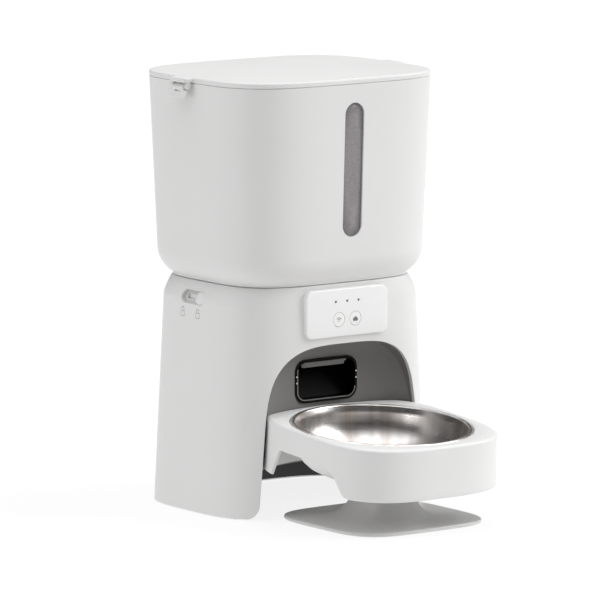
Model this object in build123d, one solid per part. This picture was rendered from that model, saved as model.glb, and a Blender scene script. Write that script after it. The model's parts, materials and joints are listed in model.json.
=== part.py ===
"""Automatic pet feeder: a lift-off food hopper on a flared base, a motor-driven
dispensing rotor, a food outlet in an arched bay, and a slide-out bowl tray.

Millimetres, +Z up, the front faces -Y. Everything is drawn about the tower's own
centre line and moved by tower_y when it is written, so that the origin is on the
floor at the middle of the whole footprint.
"""
import os
from math import atan2, cos, pi, radians, sin, sqrt, tan

from build123d import *
from build123d import SkipClean

os.makedirs("parts", exist_ok=True)

# ---------------------------------------------------------------- driving sizes
# tower outside (half widths along X and half depths along Y)
foot_x, foot_y = 93.5, 73.0          # base at the floor
shoulder_x, shoulder_y = 86.3, 68.0  # base where the shoulder starts
lid_x, lid_y = 92.85, 80.85          # lid edge
outline_power = 3.85                 # 2 is an ellipse, larger is squarer
shoulder_z = 155.0                   # shoulder starts
seam_z = 169.0                       # base ends, hopper begins
rounding_z = 190.0                   # hopper wall turns in below this height
lid_z = 320.0                        # lid edge
wall_taper = 0.0385                  # hopper half width lost per mm of height
shoulder_inset_x, shoulder_inset_y = 7.2, 1.7
shoulder_power = 1.45                # how late the shoulder curves in
rounding_radius = 24.0
base_wall = 2.8
hopper_wall = 2.4
seam_gap = 0.5
neck_z = 171.3                       # the hopper's rounding ends in a short neck
rim_z = 0.8                          # the skirt stands this far off the floor, on its pads
sheet = 2.0                          # ribs, ducts and inner covers

# clearances
moving_gap = 0.3                     # between curved faces of different bodies
fixed_gap = 0.15                     # between fixed neighbours
shaft_gap = 0.05                     # radial, a pin or shaft in its bore
thread_gap = 0.1                     # radial, a screw in its hole

# arched bay in the front
arch_half = 74.5                     # half width of the arch at the floor
arch_draft = 0.088                   # half width lost per mm of height
arch_spring_z = 60.0                 # the arch starts to close
arch_top_z = 125.0
arch_power = 3.5
arch_toe = 12.0                      # the legs' inner toes are rounded
bay_depth = 21.0                     # from the bay's mouth to its back wall
bay_half = 70.5
bay_mouth_y = -64.0
bay_power = 2.0
bay_floor_z = 36.0                   # the liner and the bottom cover end here

# food path
outlet_width, outlet_height, outlet_z, outlet_corner = 52.6, 28.0, 95.0, 7.0
outlet_lip = 1.9
outlet_front_y, chute_front_y = -45.2, -40.0
rotor_y = 2.0                        # rotor axis, from the tower's centre
well_radius, well_floor_z, well_floor = 41.5, 128.0, 2.4
deck_z = 166.0                       # top of the deck that the hopper stands on
deck_thick = 2.5
drop_inner, drop_half_angle = 20.5, 38.0
rotor_gap = 0.6
vane_count, vane_thick, hub_radius = 6, 2.6, 8.0
throat_radius, throat_y = 25.0, 14.0
funnel_z = 200.0
shaft_radius = 4.0

# gear train
tooth_module, gear_teeth, pinion_teeth = 0.9, 30, 14
addendum, dedendum = 0.8, 1.1        # in modules
backlash = 0.2
housing_low_z, gear_face = 110.0, 6.0
motor_radius, motor_length, gearhead_length = 12.0, 26.0, 18.0
motor_shaft_radius = 2.0

# battery
cell_radius, cell_length, cell_spacing, cell_count = 16.6, 60.2, 0.8, 3
cell_y, nub_radius, nub_height = 44.2, 4.5, 1.3
cover_thick = 2.5
board_x0, board_x1, board_y0, board_y1 = -80.0, -34.0, -30.0, 20.0
lining_thick, lining_low_z, lining_high_z = 1.2, 2.0, 33.9
door_thick = 1.9

# control panel
panel_width, panel_height, panel_z, panel_corner = 74.0, 32.5, 149.3, 6.0
panel_face_y = -70.8
plug_width, plug_height = 60.0, 24.0
button_radius, button_x, button_z, button_travel = 5.15, 7.45, 142.9, 0.5
led_radius, led_pitch, led_z = 0.9, 10.3, 156.3

# lock slider on the left side
slot_length, slot_height, slot_y, slot_z = 28.4, 9.8, 2.8, 157.5
knob_length, knob_gap, lock_travel = 10.4, 0.35, 16.5
shutter_x, shutter_thick = -78.9, 0.8
lug_x0, lug_x1, lug_y0, lug_y1 = -76.0, -71.0, 14.0, 16.5   # the hopper's locking lug
lug_low_z = 156.6
bar_z0, bar_z1 = 158.6, 161.0        # the bar's tongue

# hopper window
window_width, window_low, window_high, window_recess = 17.6, 204.0, 304.0, 1.4

# lid
rim_height, lid_crown, lid_edge = 3.8, 2.4, 1.2
latch_width, latch_reach, latch_drop = 21.0, 6.7, 14.6   # reach past the lid, drop under it
latch_y = 3.0                        # the latches sit a little behind the middle
latch_plate, latch_step = 1.8, 0.8
pin_radius, pin_reach, pin_drop = 1.0, 3.5, 3.0
catch_drop, catch_past, catch_half = 11.4, 1.9, 8.0
skirt_inset = 4.0                    # the lid's skirt, in from its edge
desiccant_radius, desiccant_depth = 31.0, 15.0

# tray and bowl
tray_tilt = 4.66                     # degrees, the front is lower
bowl_y, bowl_z = -112.9, 70.65       # bowl rim centre
tray_half, tray_reach, tray_power = 72.1, 76.0, 3.2
tray_height, tray_flare, tray_wall = 38.2, 1.0, 2.4
tray_gap = 0.7                       # between the tray and the bay's back wall
bowl_rim_radius, bowl_sheet, bowl_depth, bowl_narrowing = 66.4, 0.8, 33.5, 26.4
bowl_gap, seat_inset, seat_depth = 0.8, 2.8, 3.4   # around the rim, seat under it
notch_height = 20.6
cup_wall, cup_depth = 2.0, 44.0      # the well under the bowl, rounded below
cup_floor = 2.4
cup_curve = ((0, -20.4), (3.2, -24.6), (8.4, -28.8), (17.4, -35.2), (28.4, -40.0), (38.0, -41.6))
pedestal_half, pedestal_power, pedestal_edge = 60.2, 4.2, 3.2
pedestal_y = -114.0
neck_half = 18.0
pad_half, pad_depth, pad_recess = 54.2, 1.2, 0.6

# the footprint runs from the tray's front to the lid's back edge
tray_front = bowl_y - (tray_reach + tray_flare) * cos(radians(tray_tilt)) \
    - tray_height * sin(radians(tray_tilt))
tower_y = -(tray_front + lid_y) / 2
cell_pitch = 2 * cell_radius + cell_spacing
recess_radius = bowl_rim_radius + bowl_gap
seat_radius = bowl_rim_radius - seat_inset
bowl_floor_radius = bowl_rim_radius - bowl_narrowing
latch_low_z = lid_z - latch_drop
catch_z, catch_reach = lid_z - catch_drop, lid_x + catch_past
pin_x = lid_x + pin_reach


# ---------------------------------------------------------------- helpers
def save(name, shape):
    """Write one node, moved so that the whole footprint is centred."""
    part = shape if isinstance(shape, (Compound, Solid, Part)) else Compound(children=list(shape))
    export_step(Pos(0, tower_y, 0) * part, f"parts/{name}.step")


def block(x0, x1, y0, y1, z0, z1):
    """Box between two corners."""
    size = (x1 - x0, y1 - y0, z1 - z0)
    return Pos((x0 + x1) / 2, (y0 + y1) / 2, (z0 + z1) / 2) * Box(*size)


def rod(radius, x, y, z0, z1):
    """Upright cylinder."""
    return Pos(x, y, (z0 + z1) / 2) * Cylinder(radius, z1 - z0)


def along_y(radius, x, z, y0, y1):
    """Cylinder along Y."""
    return Pos(x, (y0 + y1) / 2, z) * (Rot(90, 0, 0) * Cylinder(radius, y1 - y0))


def oval(half_x, half_y, power, z, count=24):
    """Face with the outline |x/a|^n + |y/b|^n = 1 at height z."""
    points = []
    for i in range(count):
        turn = 2 * pi * i / count
        c, s = cos(turn), sin(turn)
        r = (abs(c / half_x) ** power + abs(s / half_y) ** power) ** (-1 / power)
        points.append((r * c, r * s, z))
    return make_face(Spline(*points, periodic=True))


def base_half(z):
    """Half width and half depth of the base's outside at height z."""
    t = min(z, shoulder_z) / shoulder_z
    inward = max(0.0, (z - shoulder_z) / (seam_z - shoulder_z)) ** shoulder_power
    x = foot_x + (shoulder_x - foot_x) * t - shoulder_inset_x * inward
    y = foot_y + (shoulder_y - foot_y) * t - shoulder_inset_y * inward
    return x, y


def hopper_half(z):
    """Half width and half depth of the hopper's outside at height z."""
    drop = max(0.0, rounding_z - max(z, neck_z))
    inward = wall_taper * (lid_z - max(z, rounding_z))
    inward += rounding_radius - sqrt(rounding_radius ** 2 - drop ** 2)
    return lid_x - inward, lid_y - inward


def skin(half, levels, inset=0.0):
    """Solid whose outline at each level is half(z) less the inset."""
    faces = [oval(half(z)[0] - inset, half(z)[1] - inset, outline_power, z) for z in levels]
    return loft(faces, ruled=True)


def base_skin(inset=0.0, low=rim_z):
    """The base's outside, shrunk by inset, from low to the seam."""
    curve = [shoulder_z + (seam_z - shoulder_z) * i / 6 for i in range(7)]
    return skin(base_half, [low] + curve, inset)


def hopper_skin(inset, low, high):
    """The hopper's outside, shrunk by inset, between two heights."""
    curve = [neck_z + (rounding_z - neck_z) * i / 6 for i in range(7)]
    return skin(hopper_half, [low] + [z for z in curve if z > low] + [high], inset)


def upright_slot(width, height, x, z, y0, y1, corner):
    """Rounded rectangle in the XZ plane, run along Y from y0 to y1."""
    face = Plane.XZ * RectangleRounded(width, height, corner)
    return Pos(x, y1, z) * extrude(face, amount=y1 - y0)


def side_slot(length, height, y, z, x0, x1, corner):
    """Rounded rectangle in the YZ plane, run along X from x0 to x1."""
    face = Plane.YZ * RectangleRounded(length, height, corner)
    return Pos(x0, y, z) * extrude(face, amount=x1 - x0)


def arch(grow, y0, y1, low=0.0):
    """The arched opening of the front, grown by an amount, run along Y."""
    half = arch_half + grow - arch_draft * arch_spring_z
    rise = arch_top_z + grow - arch_spring_z
    points = []
    for i in range(33):
        turn = pi * i / 32
        c, s = cos(turn), sin(turn)
        r = (abs(c / half) ** arch_power + abs(s / rise) ** arch_power) ** (-1 / arch_power)
        narrow = 1 - arch_draft * r * s / half
        points.append((r * c * narrow, arch_spring_z + r * s))
    foot = half + arch_draft * (arch_spring_z - low)
    sill = Polyline(points[-1], (-foot, low), (foot, low), points[0])
    face = make_face([Spline(*points), sill])
    return Pos(0, y1, 0) * extrude(Plane.XZ * face, amount=y1 - y0)


def bay_outline(offset):
    """Plan of the space in front of the bay's curved back wall, moved back by offset."""
    half, depth = bay_half + offset, bay_depth + offset
    points = []
    for i in range(25):
        turn = pi * i / 24
        c, s = cos(turn), sin(turn)
        r = (abs(c / half) ** bay_power + abs(s / depth) ** bay_power) ** (-1 / bay_power)
        points.append((r * c, bay_mouth_y + r * s))
    wide, far = foot_x + 40, bay_mouth_y - 200
    rest = Polyline(points[-1], (-wide, bay_mouth_y), (-wide, far), (wide, far),
                    (wide, bay_mouth_y), points[0])
    return make_face([Spline(*points), rest])


def bay_front(offset, z0, z1):
    """That space as a solid between two heights."""
    return Pos(0, 0, z0) * extrude(bay_outline(offset), amount=z1 - z0)


def tilted(shape):
    """Place a shape drawn in the tray's own level frame."""
    return Pos(0, bowl_y, bowl_z) * (Rot(tray_tilt, 0, 0) * shape)


def gear(teeth, thickness, bore):
    """Involute spur gear with its axis at the origin, a tooth centred on +X."""
    pressure = radians(20)
    pitch = tooth_module * teeth / 2
    base = pitch * cos(pressure)
    tip = pitch + addendum * tooth_module
    root = pitch - dedendum * tooth_module
    start = max(base, root + 0.05)

    def spread(r):
        roll = sqrt(max(0.0, (r / base) ** 2 - 1))
        return roll - atan2(roll, 1)

    half = pi / (2 * teeth) - backlash / (4 * pitch)
    at_pitch = spread(pitch)
    flank = [(r, half + at_pitch - spread(r)) for r in
             [start + (tip - start) * i / 5 for i in range(6)]]
    flank = [(r, a) for r, a in flank if a > 0.02 * half]
    blank = Cylinder(root, thickness)
    outline = [((root - 0.4) * cos(half + at_pitch), (root - 0.4) * sin(half + at_pitch))]
    outline += [(r * cos(a), r * sin(a)) for r, a in flank]
    outline += [(x, -y) for x, y in reversed(outline)]
    tooth = extrude(make_face(Polyline(*outline, close=True)), amount=thickness / 2, both=True)
    blank += [Rot(0, 0, 360 / teeth * i) * tooth for i in range(teeth)]
    return blank - Cylinder(bore, 2 * thickness)


def screw(x, y, head_z, shank, head_radius=3.0, radius=1.5, head=1.8, up=True):
    """Round-headed screw. Its head is below head_z and its shank above, or upside down."""
    way = 1 if up else -1
    top = rod(head_radius, x, y, min(head_z, head_z - way * head), max(head_z, head_z - way * head))
    stem = rod(radius, x, y, min(head_z, head_z + way * shank), max(head_z, head_z + way * shank))
    return top + stem


def corners(x, y):
    """The four places (+-x, +-y)."""
    return [(sx * x, sy * y) for sx in (1, -1) for sy in (1, -1)]


# ---------------------------------------------------------------- base
post_spots = corners(shoulder_x - 15.3, shoulder_y - 27.0)   # carry the deck
cover_spots = corners(foot_x - 8.5, 22.0)                    # carry the bottom cover
pad_spots = corners(foot_x - 13.7, foot_y - 28.4)            # carry the rubber pads
post_radius, cover_post_radius, pad_boss_radius = 3.6, 3.6, 6.2
self_tap = 1.5                       # radius of the screws' shanks
socket_x, socket_z = 63.5, 52.0
inside_wall = base_wall + fixed_gap
knob_y = slot_y - slot_length / 2 + knob_gap + knob_length / 2


def wall_reach(x, y, z):
    """Distance from a point outwards to the base's outside, away from the middle."""
    half_x, half_y = base_half(z)
    away = sqrt(x * x + y * y)
    whole = (abs(x / half_x) ** outline_power + abs(y / half_y) ** outline_power)
    return away * (whole ** (-1 / outline_power) - 1)


def ribbed_post(x, y, z0, z1):
    """Post with a rib that runs outwards into the wall, below the shoulder."""
    reach = wall_reach(x, y, shoulder_z) - base_wall / 2
    rib = Rot(0, 0, atan2(y, x) * 180 / pi) * block(0, reach, -1.2, 1.2, z0, shoulder_z)
    return rod(post_radius, x, y, z0, z1) + Pos(x, y, 0) * rib


def make_base_shell():
    shell = base_skin() - base_skin(base_wall, low=rim_z - 5)
    shell -= arch(0, -100, -30, low=-10)
    toe_x = arch_half - arch_draft * arch_toe
    toe = block(toe_x - 5, toe_x + arch_toe, -100, -53, -1, arch_toe)
    toe -= along_y(arch_toe, toe_x + arch_toe, arch_toe, -110, -40)
    cover_top = bay_floor_z + cover_thick
    posts = [ribbed_post(x, y, 140, deck_z - deck_thick) for x, y in post_spots]
    posts += [rod(cover_post_radius, x, y, cover_top, 54) for x, y in cover_spots]
    posts += [rod(pad_boss_radius, x, y, rim_z, bay_floor_z - fixed_gap) for x, y in pad_spots]
    shell += posts
    cuts = [toe, mirror(toe, Plane.YZ)]
    cuts += [rod(self_tap + thread_gap, x, y, 148, deck_z) for x, y in post_spots]
    cuts += [rod(self_tap + thread_gap, x, y, bay_floor_z, 50) for x, y in cover_spots]
    cuts += [rod(pad_boss_radius - 1, x, y, 0, rim_z + 1.2) for x, y in pad_spots]
    cuts.append(upright_slot(plug_width + 2 * fixed_gap, plug_height + 2 * fixed_gap,
                             0, panel_z, -80, -50, 3))
    cuts.append(side_slot(slot_length, slot_height, slot_y, slot_z, -95, -75,
                          slot_height / 2 - 0.05))
    cuts.append(upright_slot(13, 7, socket_x, socket_z, 55, 80, 3))
    return shell - cuts


def make_liner():
    hood = arch(sheet, -80, -30, low=bay_floor_z) & bay_front(sheet, 0, 200)
    hood &= skin(base_half, [20, shoulder_z], inside_wall)
    hood -= arch(0, -90, -20, low=0) & bay_front(0, 0, 200)
    frame_width = outlet_width + 2 * (outlet_lip + fixed_gap)
    frame_height = outlet_height + 2 * (outlet_lip + fixed_gap)
    return hood - upright_slot(frame_width, frame_height, 0, outlet_z, -60, -30,
                               outlet_corner + outlet_lip)


def make_outlet_frame():
    back = chute_front_y - fixed_gap
    frame = upright_slot(outlet_width + 2 * outlet_lip, outlet_height + 2 * outlet_lip, 0, outlet_z,
                         outlet_front_y, back, outlet_corner + outlet_lip)
    frame -= upright_slot(outlet_width, outlet_height, 0, outlet_z, -60, -30, outlet_corner)
    for side in (1, -1):
        x = side * (outlet_width / 2 + outlet_lip / 2)
        frame -= Pos(x, (outlet_front_y + back) / 2, outlet_z) * (Rot(0, 90, 0) * Cylinder(1.3, 4))
    return frame


def make_visor():
    """Curved lip across the top of the outlet's mouth."""
    top = outlet_z + outlet_height / 2 - fixed_gap
    y0, y1 = outlet_front_y + 1.4, chute_front_y - fixed_gap
    lip = upright_slot(outlet_width - 2 * outlet_corner, 4.2, 0, top - 2.1, y0, y1, 1.2)
    return lip - block(-outlet_width, outlet_width, y0 - 1, y1 - 1.2, 0, top - 1.4)


def make_chute():
    """Duct from the drop hole down to the outlet, with a sloping back."""
    low, high = outlet_z - outlet_height / 2, well_floor_z
    front, back = chute_front_y + sheet, rotor_y - drop_inner
    inner = [(front, low), (front, high + 1), (back, high + 1), (back, high - 4), (back - 5, high - 22)]
    outer = [(front - sheet, low - sheet), (front - sheet, high), (back + sheet, high),
             (back + sheet, high - 5), (back - 3, high - 23), (front + 2.5, low - sheet)]
    width = outlet_width / 2
    duct = Pos(-width - sheet, 0, 0) * extrude(Plane.YZ * make_face(Polyline(*outer, close=True)),
                                               amount=2 * (width + sheet))
    duct -= Pos(-width, 0, 0) * extrude(Plane.YZ * make_face(Polyline(*inner, close=True)),
                                        amount=2 * width)
    return duct - upright_slot(outlet_width, outlet_height, 0, outlet_z, -60, front + 0.5, outlet_corner)


def make_well_deck():
    deck = skin(base_half, [deck_z - deck_thick, deck_z], inside_wall)
    well = rod(well_radius + 2.2, 0, rotor_y, well_floor_z, deck_z - deck_thick / 2)
    deck += well
    deck -= rod(well_radius, 0, rotor_y, well_floor_z + well_floor, deck_z + 1)
    reach = well_radius + 5
    fan = [(0, 0)] + [(reach * sin(radians(a)), -reach * cos(radians(a)))
                      for a in (-drop_half_angle, -drop_half_angle / 2, 0,
                                drop_half_angle / 2, drop_half_angle)]
    sector = extrude(make_face(Polyline(*fan, close=True)), amount=well_floor + 2)
    sector = Pos(0, rotor_y, well_floor_z - 1) * sector
    sector &= rod(well_radius, 0, rotor_y, well_floor_z - 1, well_floor_z + 4)
    sector -= rod(drop_inner, 0, rotor_y, well_floor_z - 2, well_floor_z + 5)
    sector &= block(-outlet_width / 2, outlet_width / 2, chute_front_y + sheet, 0,
                    well_floor_z - 2, well_floor_z + 5)
    deck -= sector
    deck -= rod(shaft_radius + 2 + fixed_gap, 0, rotor_y, well_floor_z - 1, well_floor_z + 5)
    for x, y in post_spots:
        deck -= rod(self_tap + 2 * thread_gap, x, y, deck_z - 5, deck_z + 1)
        deck -= rod(3.2, x, y, deck_z - 1.2, deck_z + 1)
    return deck - block(lug_x0 - 0.6, lug_x1 + 0.6, lug_y0 - 0.6, lug_y1 + 0.6, 150, 170)


def make_deck_screws():
    return [screw(x, y, deck_z - 1.15, 14, 3.0, self_tap, 1.1, up=False) for x, y in post_spots]


def make_bush():
    top = well_floor_z + well_floor
    bush = rod(shaft_radius + 2, 0, rotor_y, well_floor_z - 2, top)
    bush += rod(shaft_radius + 4, 0, rotor_y, well_floor_z - 2, well_floor_z)
    return bush - rod(shaft_radius + shaft_gap, 0, rotor_y, 100, 150)


pinion_x = tooth_module * (gear_teeth + pinion_teeth) / 2
gear_tip = tooth_module * (gear_teeth / 2 + addendum)


def make_gear_housing():
    def outline(grow, z0, z1):
        r0, r1 = gear_tip + 1.0 + grow, motor_radius - 0.5 + grow
        solid = rod(r0, 0, rotor_y, z0, z1) + rod(r1, pinion_x, rotor_y, z0, z1)
        return solid + block(0, pinion_x, rotor_y - r1, rotor_y + r1, z0, z1)

    cup = outline(1.8, housing_low_z, well_floor_z) - outline(0, housing_low_z + 2, 140)
    cup -= rod(shaft_radius + 4.2, 0, rotor_y, well_floor_z - 2.2, 140)
    cup -= rod(motor_shaft_radius + 1, pinion_x, rotor_y, 100, 120)
    for side in (1, -1):
        cup -= rod(1.0 + thread_gap, pinion_x, rotor_y + side * 8, 100, 120)
    return cup


def make_gearhead():
    head = rod(motor_radius, pinion_x, rotor_y, housing_low_z - gearhead_length, housing_low_z)
    head -= rod(motor_shaft_radius + shaft_gap, pinion_x, rotor_y, housing_low_z - 8, 120)
    for side in (1, -1):
        head -= rod(1.0 + thread_gap, pinion_x, rotor_y + side * 8, housing_low_z - 6, 120)
    return head


def make_motor():
    top = housing_low_z - gearhead_length
    can = rod(motor_radius - 0.4, pinion_x, rotor_y, top - motor_length, top)
    can &= block(-99, 99, rotor_y - 9.5, rotor_y + 9.5, 0, 200)
    can += rod(3.0, pinion_x, rotor_y, top - motor_length - 2, top - motor_length)
    for side in (1, -1):
        can += block(pinion_x - 1.5, pinion_x + 1.5, rotor_y + side * 6 - 0.3, rotor_y + side * 6 + 0.3,
                     top - motor_length - 4, top - motor_length)
    return can


def make_motor_screws():
    seat = housing_low_z + 2
    return [screw(pinion_x, rotor_y + side * 8, seat, 7.5, 1.8, 1.0, 1.1, up=False)
            for side in (1, -1)]


box_half = cell_pitch * (cell_count - 1) / 2 + cell_radius + 0.4
box_top_z = bay_floor_z + 0.2 + cell_length + nub_height + 0.8
cell_spots = [(cell_pitch * (i - (cell_count - 1) / 2), cell_y) for i in range(cell_count)]


def make_battery_box():
    low = bay_floor_z + cover_thick
    half_y = cell_radius + 0.2
    box = block(-box_half - 1.8, box_half + 1.8, cell_y - half_y - 1.8, cell_y + half_y + 1.8,
                low, box_top_z + sheet)
    return box - block(-box_half, box_half, cell_y - half_y, cell_y + half_y, low - 1, box_top_z)


def make_cells():
    low = bay_floor_z + 0.2
    return [rod(cell_radius, x, y, low, low + cell_length)
            + rod(nub_radius, x, y, low + cell_length, low + cell_length + nub_height)
            for x, y in cell_spots]


def make_contacts():
    return [rod(cell_radius / 2, x, y, box_top_z - 0.7, box_top_z) for x, y in cell_spots]


def make_bottom_cover():
    low, high = bay_floor_z, bay_floor_z + cover_thick
    cover = skin(base_half, [low, high], inside_wall)
    cover -= bay_front(sheet + fixed_gap, 0, 100)
    half_y = cell_radius + 0.2
    cover -= block(-box_half, box_half, cell_y - half_y, cell_y + half_y, low - 1, high + 1)
    for x, y in cover_spots:
        cover -= rod(self_tap + 2 * thread_gap, x, y, low - 1, high + 1)
    for x, y in board_spots:
        cover += rod(2.6, x, y, high, board_z) - rod(1.0 + thread_gap, x, y, board_z - 4, board_z + 1)
    edge, wall = box_half + 0.6, 2.0
    for side in (1, -1):
        rail = block(edge, edge + wall, cell_y - 30, cell_y + 17, low - door_thick - 2.0, low)
        rail += block(edge - 2.2, edge + wall, cell_y - 30, cell_y + 17,
                      low - door_thick - 2.0, low - door_thick - 0.5)
        cover += rail if side > 0 else mirror(rail, Plane.YZ)
    return cover


def make_skirt_lining():
    """Dark lining inside the skirt, under the bottom cover, with gaps at the pads' bosses."""
    low, high = lining_low_z, lining_high_z
    ring = skin(base_half, [low, high], inside_wall)
    ring -= skin(base_half, [low - 1, high + 1], inside_wall + lining_thick)
    ring -= bay_front(sheet + fixed_gap, 0, 100)
    return ring - [rod(pad_boss_radius + moving_gap, x, y, 0, high + 1) for x, y in pad_spots]


board_z = bay_floor_z + cover_thick + 6.0
board_spots = [(x, y) for x in (board_x0 + 4, board_x1 - 4) for y in (board_y0 + 4, board_y1 - 4)]


def make_battery_door():
    half_y = cell_radius + 2.0
    top = bay_floor_z - 0.2
    door = block(-box_half - 0.3, box_half + 0.3, cell_y - half_y, cell_y + half_y,
                 top - door_thick, top)
    for x, y in cell_spots:
        door -= rod(cell_radius / 2 + fixed_gap, x, y, top - 0.6, top + 1)
    door -= block(-12, 12, cell_y - half_y + 3, cell_y - half_y + 4.2, 0, top - door_thick + 0.6)
    return door


def make_door_contacts():
    top = bay_floor_z - 0.2
    return [rod(cell_radius / 2, x, y, top - 0.6, top) for x, y in cell_spots]


def make_cover_screws():
    return [screw(x, y, bay_floor_z, 13, 3.0, self_tap, 1.8) for x, y in cover_spots]


def make_pads():
    return [rod(pad_boss_radius - 1.2, x, y, 0, rim_z + 1.2) for x, y in pad_spots]


def make_power_socket():
    """Oval power inlet with its tongue, on a small carrier behind the back wall."""
    face_y = 62.6
    shell = upright_slot(9.0, 3.3, socket_x, socket_z, face_y - 7.4, face_y, 1.6)
    shell -= upright_slot(8.3, 2.6, socket_x, socket_z, face_y - 6.6, face_y + 1, 1.25)
    shell += block(socket_x - 3.3, socket_x + 3.3, face_y - 7, face_y - 0.8,
                   socket_z - 0.35, socket_z + 0.35)
    return shell + block(socket_x - 7, socket_x + 7, face_y - 9, face_y - 7.4,
                         bay_floor_z + cover_thick, socket_z + 6)


def make_main_board():
    board = block(board_x0, board_x1, board_y0, board_y1, board_z, board_z + 1.6)
    for x, y in board_spots:
        board -= rod(1.1, x, y, 0, 200)
    return board


def make_board_parts():
    top = board_z + 1.6
    radio = block(-62, -44, -27, -11, top, top + 3.0)
    chip = block(-70, -60, 2, 12, top, top + 1.4)
    plugs = [block(-80 + 9 * i, -74 + 9 * i, 13.5, 18.5, top, top + 5) for i in range(1, 4)]
    cans = [rod(3.2, -44, 2 + 8 * i, top, top + 9) for i in range(2)]
    return [radio, chip] + plugs + cans


def make_board_screws():
    return [screw(x, y, board_z + 1.6, 5.0, 1.9, 1.0, 1.2, up=False) for x, y in board_spots]


# ---------------------------------------------------------------- control panel
plug_back_y = -64.2
standoff_y = -59.5
button_spots = [-button_x, button_x]


def make_panel():
    slab = upright_slot(panel_width, panel_height, 0, panel_z, panel_face_y, -60, panel_corner)
    slab -= base_skin(-shaft_gap)
    slab = fillet(slab.faces().sort_by(Axis.Y)[0].edges(), 1.1)
    slab += upright_slot(plug_width, plug_height, 0, panel_z, panel_face_y + 1.5, plug_back_y, 3)
    for x, z in corners(25.0, 9.0):
        slab += along_y(2.2, x, panel_z + z, plug_back_y - 1, standoff_y)
    for x in button_spots:
        slab -= along_y(button_radius + moving_gap, x, button_z, -90, -50)
    for i in (-1, 0, 1):
        slab -= along_y(led_radius + shaft_gap, i * led_pitch, led_z, -90, -50)
    return slab


def make_leds():
    return [along_y(led_radius, i * led_pitch, led_z, panel_face_y + 0.1, standoff_y)
            for i in (-1, 0, 1)]


def make_button(x):
    cap = along_y(button_radius, x, button_z, panel_face_y - 0.1, plug_back_y + 0.2)
    cap = fillet(cap.faces().sort_by(Axis.Y)[0].edges(), 0.4)
    return cap + along_y(button_radius + 0.9, x, button_z, plug_back_y + 0.2, plug_back_y + 1.3)


def make_button_board():
    return upright_slot(56, 23, 0, panel_z, standoff_y, standoff_y + 1.6, 1.5)


def make_switches():
    front = plug_back_y + 1.3 + button_travel + 0.05
    return [block(x - 3, x + 3, front + 0.4, standoff_y, button_z - 3, button_z + 3)
            + along_y(1.6, x, button_z, front, standoff_y) for x in button_spots]


# ---------------------------------------------------------------- lock slider
stem_z0, stem_z1 = slot_z - 1.4, slot_z + 1.4


def make_lock_bezel():
    plate = side_slot(slot_length + 5, slot_height + 1.6, slot_y, slot_z, -95, -70, 4)
    plate &= base_skin(inside_wall) - base_skin(inside_wall + 1.5)
    middle = knob_y + lock_travel / 2
    return plate - block(-95, -70, middle - lock_travel / 2 - 2, middle + lock_travel / 2 + 2,
                         stem_z0 - 0.4, stem_z1 + 0.4)


def make_lock_knob():
    height = slot_height - 2 * knob_gap
    grip = side_slot(knob_length, height, knob_y, slot_z, -95, -70, height / 2 - 0.05)
    grip &= base_skin(0.25) - base_skin(base_wall - 0.25)
    stem = block(-foot_x, shutter_x - 0.02, knob_y - 1.5, knob_y + 1.5, stem_z0, stem_z1)
    stem &= base_skin(1.0)
    return grip + stem


def make_lock_bar():
    """Bar behind the wall, with the shutter that keeps the bezel's slot covered. Its tongue
    slides through the window in the hopper's lug."""
    bar_x0, bar_x1 = lug_x0 + 1.3, lug_x1 - 1.3
    bar = block(bar_x0, bar_x1, knob_y - 2.5, knob_y + 2.5, stem_z0, bar_z1)
    bar += block(shutter_x, bar_x0, knob_y - 1.5, knob_y + 1.5, stem_z0, stem_z1)
    bar += block(shutter_x, shutter_x + shutter_thick, knob_y - 2 - lock_travel,
                 knob_y + 2 + lock_travel, slot_z - 3, slot_z + 3)
    return bar + block(bar_x0, bar_x1, knob_y, lug_y0 - 0.6, bar_z0, bar_z1)


# ---------------------------------------------------------------- dispensing rotor
rotor_low_z = well_floor_z + well_floor + 0.5
rotor_top_z = 161.0
gear_mid_z = housing_low_z + 2 + 1.5 + gear_face / 2


def make_rotor():
    hub = rod(hub_radius, 0, rotor_y, rotor_low_z, rotor_top_z)
    hub += Pos(0, rotor_y, rotor_top_z + 2) * Cone(hub_radius, 2.5, 4)
    reach = well_radius - rotor_gap
    for i in range(vane_count):
        vane = block(0, reach, -vane_thick / 2, vane_thick / 2, rotor_low_z, rotor_top_z)
        vane -= block(hub_radius + 6, reach - 8, -9, 9, rotor_top_z - 5, rotor_top_z + 1)
        hub += Pos(0, rotor_y, 0) * (Rot(0, 0, 360 / vane_count * (i + 0.5)) * vane)
    return hub - rod(shaft_radius + shaft_gap, 0, rotor_y, 100, rotor_top_z - 2)


def make_rotor_shaft():
    return rod(shaft_radius, 0, rotor_y, housing_low_z + 2.3, rotor_top_z - 2.2)


def make_drive_gear():
    return Pos(0, rotor_y, gear_mid_z) * gear(gear_teeth, gear_face, shaft_radius + shaft_gap)


def make_pinion():
    half_pitch = 180 / pinion_teeth
    turn = half_pitch if pinion_teeth % 2 == 0 else 0
    wheel = Rot(0, 0, turn) * gear(pinion_teeth, gear_face, motor_shaft_radius + shaft_gap)
    return Pos(pinion_x, rotor_y, gear_mid_z) * wheel


def make_motor_shaft():
    return rod(motor_shaft_radius, pinion_x, rotor_y, housing_low_z - 7.8, gear_mid_z + gear_face)


# ---------------------------------------------------------------- hopper
hopper_low_z = seam_z + seam_gap
hopper_top_z = lid_z - rim_height - 0.2
hopper_floor = 2.5
window_height = window_high - window_low
window_z = (window_high + window_low) / 2


def window_slot(grow, y0=-100.0, y1=-60.0):
    """The window's outline run along Y, grown on every side."""
    width = window_width + 2 * grow
    return upright_slot(width, window_height + 2 * grow, 0, window_z, y0, y1, width / 2 - 0.02)


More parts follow.
